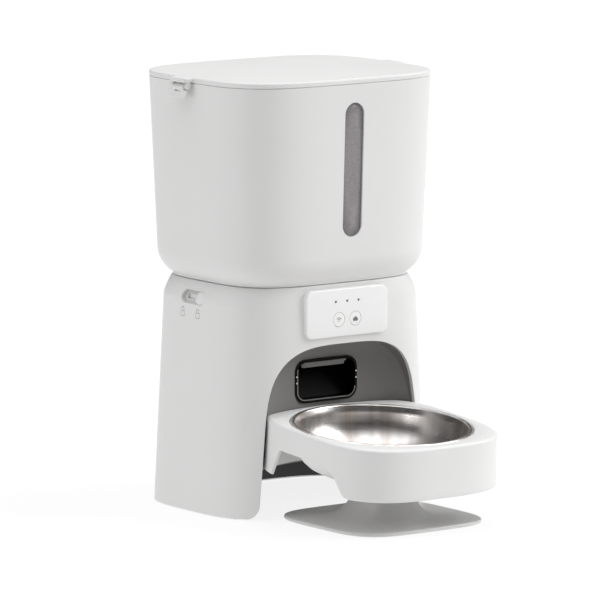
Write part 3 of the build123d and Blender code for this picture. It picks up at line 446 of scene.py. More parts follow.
def makeBase():
    edge = 0.8
    low, high = base["rimZ"], base["seamZ"]
    levels = [(low, edge + 0.6), (low + 0.25, edge * 0.5), (low + edge, 0.0)]
    levels += [(low + edge + (base["shoulderZ"] - low - edge) * i / 40, 0.0) for i in range(1, 41)]
    levels += [(base["shoulderZ"] + (high - 0.5 - base["shoulderZ"]) * i / 14, 0.0) for i in range(1, 15)]
    levels += [(high - 0.12, 0.25), (high, 0.7), (high, base["wall"])]
    levels += [(high - (high - low) * i / 20, base["wall"]) for i in range(1, 21)]
    skin = loftRings("baseSkin", [baseRing(z, inset) for z, inset in levels], closed=True)
    cutters = [prism("archCut", archOutline(), "y", -100, -30)]
    cutters += [prism("toeCut", toeOutline(side), "y", -100, -53) for side in (1, -1)]
    slot = roundedOutline(slotHole["length"], slotHole["height"], slotHole["y"], slotHole["z"],
                          slotHole["height"] / 2 - 0.05)
    cutters.append(prism("slotCut", slot, "x", -95, -75))
    plug = roundedOutline(panel["plugWidth"], panel["plugHeight"], 0, panel["z"], panel["plugCorner"])
    cutters.append(prism("plugCut", plug, "y", -80, -50))
    low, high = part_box("power_socket")
    inlet = roundedOutline(13, 7, (low.x + high.x) / 2 / mm, 52, 3)
    cutters.append(prism("inletCut", inlet, "y", 55, 80))
    return smooth(cut(skin, cutters))


def bayLine(x):
    inside = max(0.0, 1 - (x / bay["half"]) ** 2)
    return bay["mouthY"] + bay["depth"] * sqrt(inside)


def makeLiner():
    # The grey hood: a curved back wall that meets a roof under the arch.
    outline = archOutline(bay["sheet"], bay["floorZ"] - bay["sheet"])
    hood = prism("linerHood", outline, "y", -71, -30)
    hollow = prism("linerHollow", archOutline(0.0, bay["floorZ"] - 20), "y", -100, -20)
    steps = [bay["half"] * cos(pi * i / 48) for i in range(49)]
    wide = [(x, bayLine(x)) for x in steps] + [(-120, bay["mouthY"]), (-120, -150), (120, -150),
                                               (120, bay["mouthY"])]
    outer = [(x * (1 + bay["sheet"] / bay["half"]), bayLine(x) + bay["sheet"]) for x in steps]
    outer += [(-130, bay["mouthY"]), (-130, -160), (130, -160), (130, bay["mouthY"])]
    front = prism("linerFront", wide, "z", 0, 200)
    behind = prism("linerBehind", outer, "z", bay["floorZ"], 190)
    cut(hollow, [front], "INTERSECT")
    cut(hood, [behind], "INTERSECT")
    skin = loftRings("linerSkin", [baseRing(z, base["wall"] + 0.1) for z in (30, 80, 140)],
                     capFirst=True, capLast=True)
    cut(hood, [skin], "INTERSECT")
    mouth = roundedOutline(outlet["holeWidth"], outlet["holeHeight"], 0, outlet["z"],
                           outlet["holeCorner"])
    return smooth(cut(hood, [hollow, prism("mouthCut", mouth, "y", -60, -30)]))


def makePanel():
    outline = lambda grow, y: [(u, y, v) for u, v in
                               roundedOutline(panel["width"] + grow, panel["height"] + grow, 0,
                                              panel["z"], panel["corner"] + grow / 2)]
    edge = panel["edge"]
    rings = [outline(0, panel["backY"]), outline(0, panel["faceY"] + edge)]
    rings += [outline(-2 * edge * (1 - cos(pi / 2 * i / 6)),
                      panel["faceY"] + edge * (1 - sin(pi / 2 * i / 6))) for i in range(1, 7)]
    slab = loftRings("panelFace", rings, capFirst=True, capLast=True)
    holes = [prism("buttonHole", roundedOutline(2 * panel["buttonHole"], 2 * panel["buttonHole"],
                                                side * panel["buttonX"], panel["buttonZ"],
                                                panel["buttonHole"] - 0.01, 16), "y", -90, -50)
             for side in (1, -1)]
    holes += [prism("ledHole", roundedOutline(2 * panel["ledHole"], 2 * panel["ledHole"],
                                              i * panel["ledPitch"], panel["ledZ"],
                                              panel["ledHole"] - 0.01, 8), "y", -90, -50)
              for i in (-1, 0, 1)]
    return smooth(cut(slab, holes))


def makeLining():
    # Band round the back and sides of the skirt, inside its wall; its near-black colour is painted shade for
    # the hollow of the base.
    outside = base["wall"] + lining["gap"]
    inside = outside + lining["sheet"]
    low, high = lining["lowZ"], lining["highZ"]
    rings = [baseRing(low, outside), baseRing(high, outside), baseRing(high, inside), baseRing(low, inside)]
    band = loftRings("skirtBand", rings, closed=True)
    front = prism("bandCut", [(-110, -5), (110, -5), (110, 60), (-110, 60)], "y", -100, lining["frontY"])
    return smooth(cut(band, [front]))


settle(makeBase(), finishes["white_shell"], "base", "white_shell", "base_shell")
settle(makeLining(), liningPaintedShade, "base", "grey_liner", "skirt_lining")
settle(makeLiner(), finishes["grey_liner"], "base", "grey_liner", "cavity_liner")
settle(makePanel(), panelWhite, "base", "white_shell", "control_panel")
print("base made")


# ------------------------------------------------------------ hopper and lid
hopper = {"lidX": 92.85, "lidY": 80.85, "lidZ": 320.0, "taper": 0.0385, "roundZ": 190.0, "radius": 24.0,
          "neckZ": 171.3, "lowZ": 169.5, "rim": 3.8, "wall": 2.4, "power": 3.85}
window = {"width": 17.2, "low": 204.0, "high": 302.4}
lid = {"edge": 1.2, "crown": 2.4}


def hopperRing(z, inset):
    drop = max(0.0, hopper["roundZ"] - max(z, hopper["neckZ"]))
    inward = hopper["taper"] * (hopper["lidZ"] - max(z, hopper["roundZ"])) + hopper["radius"] \
        - sqrt(hopper["radius"] ** 2 - drop ** 2) + inset
    return ovalRing(hopper["lidX"] - inward, hopper["lidY"] - inward, hopper["power"], z)


def makeHopper():
    top = hopper["lidZ"] - hopper["rim"] - 0.2
    levels = [(hopper["lowZ"], 3.0), (hopper["lowZ"], 0.9), (hopper["lowZ"] + 0.4, 0.8),
              (hopper["neckZ"] - 0.5, 0.8), (hopper["neckZ"], 0.3)]
    levels += [(hopper["neckZ"] + 0.5 + (hopper["roundZ"] - hopper["neckZ"] - 0.5) * i / 18, 0.0)
               for i in range(19)]
    levels += [(hopper["roundZ"] + (top - 0.4 - hopper["roundZ"]) * i / 36, 0.0) for i in range(1, 37)]
    levels += [(top, 0.35), (top, hopper["wall"])]
    levels += [(top - (top - 192) * i / 20, hopper["wall"]) for i in range(1, 21)]
    levels += [(180, hopper["wall"]), (172, hopper["wall"] + 1), (172, 30)]
    rings = [hopperRing(z, inset) for z, inset in levels]
    rings.append(ovalRing(27.2, 27.2, 2, 172, 14))
    rings.append(ovalRing(27.2, 27.2, 2, hopper["lowZ"], 14))
    rings[0] = ovalRing(40, 40, 2, hopper["lowZ"], 8)
    shell = loftRings("hopperSkin", rings, closed=True)
    middle = (window["low"] + window["high"]) / 2
    pill = roundedOutline(window["width"], window["high"] - window["low"], 0, middle,
                          window["width"] / 2 - 0.01, 20)
    return smooth(cut(shell, [prism("windowCut", pill, "y", -100, -60)]))


def lidRing(inset, z):
    return ovalRing(hopper["lidX"] - inset, hopper["lidY"] - inset, hopper["power"], z)


def makeLid():
    low, high, edge = hopper["lidZ"] - hopper["rim"], hopper["lidZ"], lid["edge"]
    rings = [lidRing(2.6, high - 1.6), lidRing(2.6, low), lidRing(0.35, low), lidRing(0.08, low + 0.12),
             lidRing(0, low + 0.4), lidRing(0, high - edge)]
    rings += [lidRing(edge * (1 - cos(pi / 2 * i / 6)), high - edge + edge * sin(pi / 2 * i / 6))
              for i in range(1, 7)]
    for i in range(1, 15):
        inset = edge + (76 - edge) * i / 14
        rings.append(lidRing(inset, high + lid["crown"] * sin(pi / 2 * i / 14)))
    return smooth(loftRings("lidSkin", rings, capFirst=True, capLast=True), 40)


def makeSkirt():
    low, high = hopper["lidZ"] - hopper["rim"] - 8, hopper["lidZ"] - 1.7
    rings = [lidRing(4.0, high), lidRing(4.0, low), lidRing(5.8, low), lidRing(5.8, high)]
    return smooth(loftRings("lidSkirt", rings, closed=True))


settle(makeHopper(), finishes["white_shell"], "hopper", "white_shell", "hopper_shell")
print("hopper made")


def joined(pieces):
    # One mesh from several that overlap, kept as they are.
    first = pieces[0]
    work = bmesh.new()
    for piece in pieces:
        work.from_mesh(piece.data)
    work.to_mesh(first.data)
    work.free()
    for piece in pieces[1:]:
        bpy.data.objects.remove(piece)
    return first


def polished(name, node, angle=32):
    # A smooth-shaded copy of a CAD node, with its loose triangles merged.
    data = frame["nodes"][node].data.copy()
    work = bmesh.new()
    work.from_mesh(data)
    bmesh.ops.remove_doubles(work, verts=work.verts, dist=0.005 * mm)
    bmesh.ops.recalc_face_normals(work, faces=work.faces)
    work.to_mesh(data)
    work.free()
    piece = bpy.data.objects.new(name, data)
    bpy.context.scene.collection.objects.link(piece)
    return smooth(piece, angle)


latch = {"width": 21.0, "y": 3.0, "earX": 92.15, "earDepth": 14.8, "earCorner": 2.0, "earLift": 0.4,
         "earDrop": 0.35, "cheek": 1.8, "cheekTop": 0.9, "cheekFrom": 7.4, "cheekTo": 10.45,
         "pinX": 96.35, "pinZ": 313.2, "barrel": 1.95, "lowZ": 305.4, "plateX": 96.95,
         "clipHalf": 7.0, "plateHalf": 10.4, "slotWidth": 6.5, "slotHeight": 1.2}


def makeEar(side):
    # Flat ear on the lid's edge, with two cheeks under it that hold the latch's pin.
    z, pinX, radius = hopper["lidZ"], latch["pinX"], latch["cheek"]
    block = roundedOutline(latch["earDepth"], latch["width"], latch["earX"], latch["y"],
                           latch["earCorner"], 6)
    outline = [(side * u, v) for u, v in block]
    low, high = z - hopper["rim"] + latch["earLift"], z - latch["earDrop"]
    parts = [soften(prism("lidEar", outline, "z", low, high), 0.5, 3)]
    for way in (1, -1):
        y = sorted((latch["y"] + way * latch["cheekFrom"], latch["y"] + way * latch["cheekTo"]))
        turn = [(side * (pinX + radius * cos(pi * i / 12)), latch["pinZ"] - radius * sin(pi * i / 12))
                for i in range(13)]
        cheek = turn + [(side * (pinX - radius), z - 3.5), (side * (pinX + latch["cheekTop"]), z - 3.5)]
        parts.append(soften(prism("lidCheek", cheek, "y", *y), 0.2))
    return parts


def makeLatch(name, side):
    # Curved clip: barrel on the pin, a plate with a slot, and a lip that turns out at its foot.
    x, z = latch["plateX"], latch["pinZ"]
    front = [(x + 1.9, z + 0.6), (x + 2.05, z - 2.2), (x + 2.0, z - 4.6), (x + 2.1, z - 5.8),
             (x + 2.4, z - 6.8), (x + 2.4, latch["lowZ"] + 0.3), (x + 2.1, latch["lowZ"])]
    back = [(x + 0.3, latch["lowZ"]), (x, latch["lowZ"] + 0.4), (x, z - 2.4), (x - 0.2, z - 1.9)]
    barrel = [(latch["pinX"] + latch["barrel"] * cos(a), z + latch["barrel"] * sin(a)) for a in
              [pi * 1.25 - pi * 1.15 * i / 10 for i in range(11)]]
    outline = [(side * u, v) for u, v in front + back + barrel]
    y = latch["y"]
    clip = prism(name, outline, "y", y - latch["clipHalf"], y + latch["clipHalf"])
    wide = [(side * u, v) for u, v in front[1:] + back[:3]]
    plate = prism("latchPlate", wide, "y", y - latch["plateHalf"], y + latch["plateHalf"])
    cut(clip, [plate], "UNION")
    slotted = roundedOutline(latch["slotWidth"], latch["slotHeight"], y + 0.2, z - 2.8, 0.55, 6)
    cut(clip, [prism("latchSlot", slotted, "x", *sorted((side * 90, side * 110)))])
    return smooth(soften(clip, 0.25))


lidPieces = [makeLid(), makeSkirt()] + makeEar(1) + makeEar(-1)
settle(smooth(joined(lidPieces), 40), finishes["white_shell"], "lid", "white_shell", "lid_panel")
settle(makeLatch("latchClipRight", 1), finishes["white_shell"], "latch_right", "white_shell", "latch_right")
settle(makeLatch("latchClipLeft", -1), finishes["white_shell"], "latch_left", "white_shell", "latch_left")
settle(polished("windowPane", "hopper_window"), finishes["smoke_window"], "hopper", "smoke_window",
       "hopper_window")
for piece, node, body in (("outletRing", "outlet_frame", "base"), ("lockRecess", "lock_bezel", "base"),
                          ("lockGrip", "lock_knob", "lock"), ("hopperFunnel", "hopper_funnel", "hopper"),
                          ("networkKey", "network_button", "network_button"),
                          ("feedKey", "feed_button", "feed_button")):
    look = panelWhite if "Key" in piece else finishes[slotOf[node]]
    settle(polished(piece, node), look, body, slotOf[node], node)
print("lid and latches made")


# ------------------------------------------------------------ marks on the keys and by the lock
def strip(name, line, width, place, thick=0.06):
    # A thin raised line along points (u, v), put on a face by place(u, v, height).
    points, faces = [], []
    for i, (u, v) in enumerate(line):
        before, after = line[max(i - 1, 0)], line[min(i + 1, len(line) - 1)]
        du, dv = after[0] - before[0], after[1] - before[1]
        size = sqrt(du * du + dv * dv) or 1.0
        nu, nv = -dv / size * width / 2, du / size * width / 2
        points += [place(u + nu, v + nv, 0), place(u - nu, v - nv, 0),
                   place(u - nu, v - nv, thick), place(u + nu, v + nv, thick)]
    for i in range(len(line) - 1):
        a, b = 4 * i, 4 * i + 4
        faces += [(a + k, a + (k + 1) % 4, b + (k + 1) % 4, b + k) for k in range(4)]
    last = 4 * len(line) - 4
    faces += [(3, 2, 1, 0), (last, last + 1, last + 2, last + 3)]
    return makePiece(name, points, faces)


def arcLine(u, v, radius, start, stop, steps=14):
    return [(u + radius * cos(radians(start + (stop - start) * i / steps)),
             v + radius * sin(radians(start + (stop - start) * i / steps))) for i in range(steps + 1)]


def onKey(x):
    front = panel["faceY"] - 0.1
    return lambda u, v, h: (x + u, front - h, panel["buttonZ"] + v)


def makeSignalMark():
    place = onKey(-panel["buttonX"])
    lines = [arcLine(0, -1.3, r, 45, 135) for r in (1.5, 2.7)]
    parts = [strip("signalMark", line, 0.5, place) for line in lines]
    parts.append(strip("signalDot", [(0, -1.6), (0, -1.0)], 0.6, place))
    return joined(parts)


def makeBowlMark():
    place = onKey(panel["buttonX"])
    parts = [strip("bowlMark", [(-2.5, -0.5), (2.5, -0.5)], 0.55, place),
             strip("bowlSide", [(-1.9, -0.9), (-1.9, -1.7), (1.9, -1.7), (1.9, -0.9)], 0.5, place),
             strip("bowlFill", [(-1.8, -1.2), (1.8, -1.2)], 0.9, place),
             strip("heap", arcLine(0, -0.5, 1.5, 15, 165), 0.6, place),
             strip("heapFill", [(-1.2, 0.1), (1.2, 0.1)], 1.0, place)]
    return joined(parts)


def onSide(y, z):
    def place(u, v, h):
        halfX, halfY = baseHalf(z + v)
        x = halfX * (1 - abs((y + u) / halfY) ** base["power"]) ** (1 / base["power"])
        return (-x - h + 0.03, y + u, z + v)
    return place


def makeLockMark(name, y, open_):
    # Small padlock: a body and a shackle that is closed or swung open.
    place = onSide(y, 146.4)
    body = [(-2.2, -3.4), (2.2, -3.4), (2.2, 0.2), (-2.2, 0.2), (-2.2, -3.4)]
    shackle = arcLine(0, 1.8, 1.45, 180, 0)
    ends = [(-1.45, 0.2)] + shackle + ([(1.45, 1.2)] if open_ else [(1.45, 0.2)])
    return joined([strip(name, body, 0.6, place), strip("shackle", ends, 0.6, place)])


def makeOutletRim():
    # Fine lip along the sides and foot of the outlet.
    line = roundedOutline(outlet["lipWidth"], outlet["lipHeight"], 0, outlet["z"], outlet["lipCorner"])
    return strip("outletRim", line[22:], outlet["lip"], lambda u, v, h: (u, outlet["faceY"] - h, v), 0.3)


def makeOutletPins():
    # Small bright pin heads at the two sides of the outlet.
    spots = [(side * outlet["pinX"], z) for side in (1, -1) for z in outlet["pinZ"]]
    heads = [roundedOutline(outlet["pin"], outlet["pin"], x, z, 0.54, 5) for x, z in spots]
    return joined([prism("outletPins", head, "y", outlet["faceY"] - 0.5, outlet["faceY"] + 0.2)
                   for head in heads])


lockCover = {"y": -5.85, "z": 157.5, "length": 36.9, "height": 6.0, "outX": -81.35, "inX": -80.95}


def makeLockCover():
    # Pale strip that slides with the lock, close behind its recess.
    reach, rise = lockCover["length"] / 2, lockCover["height"] / 2
    outline = [(lockCover["y"] + su * reach, lockCover["z"] + sv * rise)
               for su, sv in ((-1, -1), (1, -1), (1, 1), (-1, 1))]
    return prism("lockCover", outline, "x", lockCover["outX"], lockCover["inX"])


settle(makeLockCover(), finishes["button_white"], "lock", "inner_white")
settle(makeOutletRim(), finishes["grey_liner"], "base", "grey_liner")
settle(makeOutletPins(), finishes["contact_nickel"], "base", "contact_nickel")
settle(makeSignalMark(), markInk, "network_button", "button_white")
settle(makeBowlMark(), markInk, "feed_button", "button_white")
settle(makeLockMark("openMark", 14.2, True), markGrey, "base", "white_shell")
settle(makeLockMark("closedMark", -4.5, False), markGrey, "base", "white_shell")
print("marks made")


# ------------------------------------------------------------ tray, foot and bowl
tray = {"bowlY": -112.9, "bowlZ": 70.65, "half": 72.1, "reach": 76.0, "power": 3.2, "height": 38.2,
        "flare": 1.0, "wall": 2.4, "gap": 0.7, "recess": 67.2, "seat": 63.6, "seatDepth": 3.4,
        "edge": 2.0, "notchTop": -17.6, "cupDepth": 37.6}
foot = {"half": 60.2, "power": 4.2, "y": -114.0, "lowZ": 0.6, "edgeZ": 3.2, "neck": 18.0}
bowl = {"rim": 66.4, "roll": 1.7, "sheet": 0.75, "depth": 33.5, "inside": 32.7, "floor": 40.0, "top": 0.2}


def tilt(point):
    x, v, w = point
    return (x, tray["bowlY"] + v * cos(trayTilt) - w * sin(trayTilt),
            tray["bowlZ"] + v * sin(trayTilt) + w * cos(trayTilt))


def trayRing(inset, depth):
    # Outline at a depth under the top, held back behind the bay's wall.
    grow = tray["flare"] * -depth / tray["height"] - inset
    ring = ovalRing(tray["half"] + grow, tray["reach"] + grow, tray["power"], depth)
    held = []
    for x, v, w in ring:
        wall = bayLine(x) - tray["gap"] - inset - tray["bowlY"]
        held.append((x, min(v, (wall + w * sin(trayTilt)) / cos(trayTilt)), w))
    return held


def circleRing(radius, depth):
    return ovalRing(radius, radius, 2, depth)


def makeTray():
    edge, low = tray["edge"], -tray["height"]
    well = [(12.0, -35.4), (25.6, -35.4), (30.6, -35.3), (35.2, -35.1), (41.0, -34.6), (46.2, -33.4),
            (51.3, -30.9), (55.9, -27.0), (59.4, -22.4), (61.7, -17.3), (62.9, -12.2), (tray["seat"], -8.0)]
    rings = [circleRing(*point) for point in well] + [circleRing(tray["seat"], -tray["seatDepth"])]
    rings += [circleRing(tray["recess"], -tray["seatDepth"]), circleRing(tray["recess"], -1.0)]
    rings += [circleRing(tray["recess"] + 0.3, -0.35), circleRing(tray["recess"] + 0.95, 0.0)]
    rings += [trayRing(edge * (1 - sin(pi / 2 * i / 6)), -edge * (1 - cos(pi / 2 * i / 6))) for i in range(7)]
    rings += [trayRing(0, -edge + (low + 1.2 + edge) * i / 12) for i in range(1, 13)]
    rings += [trayRing(0.35, low + 0.35), trayRing(1.2, low)]
    rings += [trayRing(tray["wall"], low), trayRing(tray["wall"], -8)]
    rings += [circleRing(tray["seat"] + 2, -8), circleRing(tray["seat"] + 1.6, -10.0)]
    rings += [circleRing(r + 0.9, depth - 1.0) for r, depth in reversed(well[3:-1])]
    rings.append(circleRing(24.0, -tray["cupDepth"]))
    rings = [[tilt(p) for p in ring] for ring in rings]
    shell = loftRings("traySkin", rings, capFirst=True, capLast=True)
    cutters = []
    for side in (1, -1):
        points = [tilt((side * w, u, v)) for w in (60.0, 90.0) for u, v in notchOutline()]
        count = len(notchOutline())
        faces = [(i, (i + 1) % count, (i + 1) % count + count, i + count) for i in range(count)]
        faces += [tuple(reversed(range(count))), tuple(range(count, 2 * count))]
        cutters.append(makePiece("notchCut", points, faces))
    cup = loftRings("cupKeep", [[tilt(p) for p in circleRing(tray["seat"] + 2.02, d)] for d in (-60, 5)],
                    capFirst=True, capLast=True)
    for cutter in cutters:
        step = cutter.modifiers.new("keep", "BOOLEAN")
        step.operation, step.solver, step.object = "DIFFERENCE", "EXACT", cup
        bake(cutter)
    bpy.data.objects.remove(cup)
    return smooth(cut(shell, cutters), 38)


def notchOutline():
    top, low = tray["notchTop"], -tray["height"] - 8
    back = [(39.5, low), (36.0, -tray["height"] + 1.0), (28.8, top - 5.0)]
    turns = [pi / 2 * (0.12 + 0.88 * i / 6) for i in range(7)]
    back += [(24.0 + 4 * cos(turn), top - 4 + 4 * sin(turn)) for turn in turns]
    sweep = [(-20.0, top), (-26.5, top - 0.6), (-31.0, top - 1.8), (-35.0, top - 3.8), (-38.6, top - 7.2),
             (-41.8, top - 12.0), (-44.8, top - 16.6), (-47.8, top - 19.4), (-52.5, top - 20.7), (-52.5, low)]
    return back + sweep


def footRing(half, z):
    return ovalRing(half, half, foot["power"], z, foot["y"])


def footSlope(y):
    # Height of the tray cup's flat underside over a place along y.
    depth = tray["cupDepth"]
    return tray["bowlZ"] - depth * cos(trayTilt) + (y - tray["bowlY"]) * tan(trayTilt) \
        - depth * sin(trayTilt) * tan(trayTilt)


def makeFoot():
    # Flat rounded square whose top sweeps up into a square neck.
    low, edge = foot["lowZ"], foot["edgeZ"]
    rings = [footRing(foot["half"] - 5.7, 1.2), footRing(foot["half"] - 5.7, low),
             footRing(foot["half"] - 0.5, low), footRing(foot["half"], low + 0.5)]
    rings += [footRing(foot["half"] - 0.9 * (1 - cos(pi / 2 * i / 4)), edge - 0.9 + 0.9 * sin(pi / 2 * i / 4))
              for i in range(5)]
    sweep = [(54.0, 3.4), (46.0, 3.75), (38.0, 4.3), (33.0, 4.95), (29.0, 6.1), (26.0, 7.9), (23.6, 10.4),
             (21.6, 13.4), (20.0, 17.0), (18.7, 20.0), (foot["neck"], 22.5)]
    rings += [footRing(half, z) for half, z in sweep]
    top = footRing(foot["neck"], 0)
    rings.append([(x, y, footSlope(y) + 0.3) for x, y, z in top])
    return smooth(loftRings("footPlate", rings, capFirst=True, capLast=True), 40)


def makeBowl():
    # Spun bowl: rolled rim, a wall that leans in, and a broad turn into a flat floor.
    middle = bowl["rim"] - bowl["roll"]
    level = bowl["top"] - bowl["roll"]
    roll = [(middle + bowl["roll"] * cos(a), level + bowl["roll"] * sin(a))
            for a in [-pi / 2 + pi * 1.5 * i / 18 for i in range(19)]]
    under, sheet, depth = -bowl["inside"], bowl["sheet"], -bowl["depth"]
    inner = [(62.2, level - 1.4), (61.9, -6.0), (61.2, -11.0), (59.9, -16.0), (57.6, -21.0), (54.2, -25.4),
             (49.8, -29.2), (45.0, -31.6), (bowl["floor"], under), (34.0, under - 0.05), (20.0, under),
             (6.0, under)]
    outer = [(x + sheet, w - sheet) for x, w in inner[2:-2]]
    outline = roll + inner
    back = [(6.0, depth), (20.0, depth)] + list(reversed(outer)) + [(62.9, -6.0), (63.1, level - 1.4)]
    rings = [[tilt(p) for p in circleRing(r, w)] for r, w in outline]
    rings += [[tilt(p) for p in circleRing(0.02, w)] for w in (under, depth)]
    rings += [[tilt(p) for p in circleRing(r, w)] for r, w in back]
    return smooth(loftRings("steelBowl", rings, closed=True), 50)


settle(makeTray(), finishes["white_shell"], "tray", "white_shell", "tray_shell")
settle(makeFoot(), finishes["foot_grey"], "tray", "foot_grey", "tray_foot")
settle(makeBowl(), finishes["steel_bowl"], "bowl", "steel_bowl", "bowl")
print("tray and bowl made")


# ------------------------------------------------------------ screws and pads, four at a time
fours = {
    "cover_screws": {"Spacing": (170.0, 44.0), "Middle": (0.0, 0.0, 36.0), "Turn": 0.0,
                     "Head Radius": 3.0, "Head Height": 1.8, "Shank Radius": 1.5, "Shank Length": 13.0},
    "deck_screws": {"Spacing": (142.0, 82.0), "Middle": (0.0, 0.0, 164.85), "Turn": pi,
                    "Head Radius": 3.0, "Head Height": 1.1, "Shank Radius": 1.5, "Shank Length": 14.0},
    "rubber_pads": {"Spacing": (159.6, 89.2), "Middle": (0.0, 0.0, 1.2), "Turn": 0.0,
                    "Head Radius": 5.0, "Head Height": 1.2, "Shank Radius": 4.4, "Shank Length": 0.8},
}


class Tree:
    def __init__(self, name, inputs):
        self.tree = bpy.data.node_groups.new(name, "GeometryNodeTree")
        self.keys = {}
        for key, kind in inputs.items():
            socket = self.tree.interface.new_socket(key, in_out="INPUT", socket_type=kind)
            self.keys[key] = socket.identifier
        self.tree.interface.new_socket("Geometry", in_out="OUTPUT", socket_type="NodeSocketGeometry")
        self.given = self.tree.nodes.new("NodeGroupInput").outputs

    def add(self, kind, settings=None, **sockets):
        node = self.tree.nodes.new(kind)
        for key, value in (settings or {}).items():
            setattr(node, key, value)
        for key, value in sockets.items():
            target = node.inputs[key.replace("_", " ")]
            for item in value if isinstance(value, list) else [value]:
                if isinstance(item, bpy.types.NodeSocket):
                    self.tree.links.new(item, target)
                else:
                    target.default_value = item
        return node.outputs[0]

    def scaled(self, first, second):
        node = self.tree.nodes.new("ShaderNodeMath")
        node.operation = "MULTIPLY"
        for i, item in enumerate((first, second)):
            if isinstance(item, bpy.types.NodeSocket):
                self.tree.links.new(item, node.inputs[i])
            else:
                node.inputs[i].default_value = item
        return node.outputs[0]


def makeFours(node, sizes, material):
    # Instances of one fixing on a two by two grid: a bevelled head, and a shank above it.
    kinds = {"Spacing X": "NodeSocketFloat", "Spacing Y": "NodeSocketFloat", "Middle": "NodeSocketVector",
             "Turn": "NodeSocketVector", "Head Radius": "NodeSocketFloat", "Head Height": "NodeSocketFloat",
             "Shank Radius": "NodeSocketFloat", "Shank Length": "NodeSocketFloat"}
    tree = Tree(node + "Grid", kinds)
    given = tree.given
    grid = tree.add("GeometryNodeMeshGrid", Size_X=given["Spacing X"], Size_Y=given["Spacing Y"],
                    Vertices_X=2, Vertices_Y=2)
    half = tree.scaled(given["Head Height"], 0.5)
    down = tree.scaled(given["Head Height"], -1.0)
    rim = tree.scaled(given["Head Radius"], 0.78)
    lift = tree.scaled(given["Shank Length"], 0.5)
    barrel = tree.add("GeometryNodeMeshCylinder", Vertices=40, Radius=given["Head Radius"], Depth=half)
    crown = tree.add("GeometryNodeMeshCone", Vertices=40, Radius_Top=given["Head Radius"],
                     Radius_Bottom=rim, Depth=half)
    shank = tree.add("GeometryNodeMeshCylinder", Vertices=28, Radius=given["Shank Radius"],
                     Depth=given["Shank Length"])
    spots = [tree.add("ShaderNodeCombineXYZ", Z=z) for z in
             (tree.scaled(half, -0.5), down, lift)]
    parts = [tree.add("GeometryNodeTransform", Geometry=shape, Translation=spot)
             for shape, spot in zip((barrel, crown, shank), spots)]
    fixing = tree.add("GeometryNodeJoinGeometry", Geometry=parts)
    turned = tree.add("GeometryNodeTransform", Geometry=fixing, Rotation=given["Turn"])
    copies = tree.add("GeometryNodeInstanceOnPoints", Points=grid, Instance=turned)
    placed = tree.add("GeometryNodeTransform", Geometry=copies, Translation=given["Middle"])
    solid = tree.add("GeometryNodeRealizeInstances", Geometry=placed)
    shown = tree.add("GeometryNodeSetMaterial", Geometry=solid, Material=material)
    end = tree.tree.nodes.new("NodeGroupOutput")
    tree.tree.links.new(shown, end.inputs["Geometry"])

    piece = makePiece(node.replace("_s", "S").replace("_p", "P") + "Set", [(0, 0, 0)], [])
    step = piece.modifiers.new("fours", "NODES")
    step.node_group = tree.tree
    x, y, z = sizes["Middle"]
    values = {"Spacing X": sizes["Spacing"][0] * mm, "Spacing Y": sizes["Spacing"][1] * mm,
              "Middle": (x * mm, y * mm + towerY, z * mm), "Turn": (sizes["Turn"], 0.0, 0.0)}
    values.update({key: sizes[key] * mm for key in kinds if key.startswith(("Head", "Shank"))})
    for key, value in values.items():
        step[tree.keys[key]] = value
    return smooth(bake(piece))


for node, sizes in fours.items():
    finish = finishes[slotOf[node]]
    settle(makeFours(node, sizes, finish), finish, "base", slotOf[node], node)
print("fixings made")


# ------------------------------------------------------------ floor, light and camera
light = {"floor": 0.14, "floorGlow": 0.83, "horizon": 0.0, "zenith": 1.85, "zenithFrom": 0.40,
         "key": (1.75, (0.74, -0.46, 0.48), 40.0), "fill": (0.62, (-0.84, 0.50, 0.20), 50.0)}


def makeFloor():
    # Pale paper that glows a little, so that shadows on it stay light.
    floor = makePiece("floor", [(-6000, -6000, 0), (6000, -6000, 0), (6000, 6000, 0), (-6000, 6000, 0)],
                      [(0, 1, 2, 3)])
    paper = Finish("floorPaper", 0.9)
    tone = paper.noise(3.0) * 0.004
    paper.feed(paper.shader.inputs["Roughness"], tone + 0.9)
    paper.shader.inputs["Base Color"].default_value = (light["floor"],) * 3 + (1,)
    paper.shader.inputs["Emission Color"].default_value = (1, 1, 1, 1)
    paper.shader.inputs["Emission Strength"].default_value = light["floorGlow"]
    floor.data.materials.append(paper.material)
    floor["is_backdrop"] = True


def addSun(name, strength, toward, spread):
    data = bpy.data.lights.new(name, "SUN")
    data.energy, data.angle = strength, radians(spread)
    sun = bpy.data.objects.new(name, data)
    sun.rotation_euler = Vector(toward).to_track_quat("Z", "Y").to_euler()
    bpy.context.scene.collection.objects.link(sun)


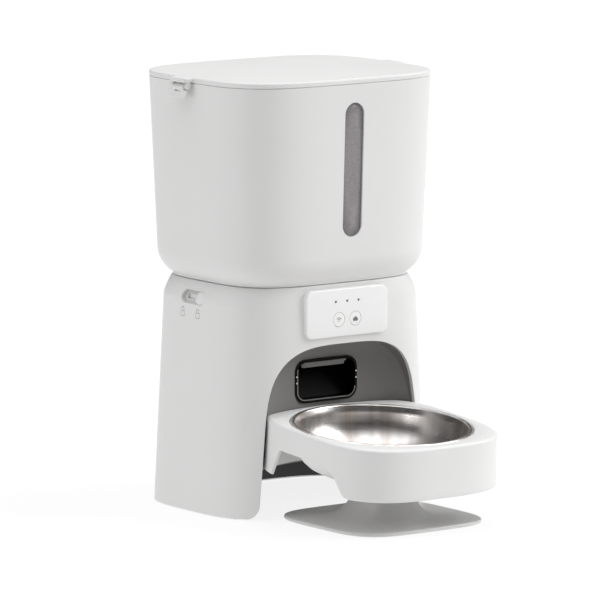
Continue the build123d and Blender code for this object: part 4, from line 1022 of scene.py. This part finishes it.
view = {"azimuth": -36.31, "elevation": 8.09, "distance": 4574.3, "aimZ": 160.0, "lens": 372.0,
        "shiftX": 0.01715, "shiftY": -0.02553}


def addCamera():
    az, el = radians(view["azimuth"]), radians(view["elevation"])
    back = Vector((sin(az) * cos(el), -cos(az) * cos(el), sin(el)))
    data = bpy.data.cameras.new("camera")
    data.lens, data.sensor_width = view["lens"], 36.0
    data.shift_x, data.shift_y = view["shiftX"], view["shiftY"]
    data.clip_end = 50
    camera = bpy.data.objects.new("camera", data)
    camera.location = world((0, 0, view["aimZ"])) + back * view["distance"] * mm
    camera.rotation_euler = back.to_track_quat("Z", "Y").to_euler()
    bpy.context.scene.collection.objects.link(camera)
    bpy.context.scene.camera = camera


def addWorld():
    # A soft dome that is brightest overhead, and plain white where the camera sees it.
    sky = bpy.data.worlds.new("studio")
    sky.use_nodes = True
    nodes, links = sky.node_tree.nodes, sky.node_tree.links
    parts = nodes.new("ShaderNodeSeparateXYZ")
    links.new(nodes.new("ShaderNodeTexCoord").outputs["Generated"], parts.inputs[0])
    rise = nodes.new("ShaderNodeMapRange")
    rise.interpolation_type = "SMOOTHSTEP"
    rise.inputs["From Min"].default_value = light["zenithFrom"]
    rise.inputs["To Min"].default_value = light["horizon"]
    rise.inputs["To Max"].default_value = light["zenith"]
    links.new(parts.outputs["Z"], rise.inputs["Value"])
    seen = nodes.new("ShaderNodeMix")
    seen.inputs["B"].default_value = 1.0
    links.new(nodes.new("ShaderNodeLightPath").outputs["Is Camera Ray"], seen.inputs["Factor"])
    links.new(rise.outputs["Result"], seen.inputs["A"])
    links.new(seen.outputs["Result"], nodes["Background"].inputs["Strength"])
    nodes["Background"].inputs["Color"].default_value = (1, 1, 1, 1)
    bpy.context.scene.world = sky
    bpy.context.scene.view_settings.view_transform = "Standard"


makeFloor()
addSun("key", *light["key"])
addSun("fill", *light["fill"])
addCamera()
addWorld()

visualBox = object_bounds()
sizes = {"cad": [list(corner) for corner in cadBox], "visual": [list(corner) for corner in visualBox]}
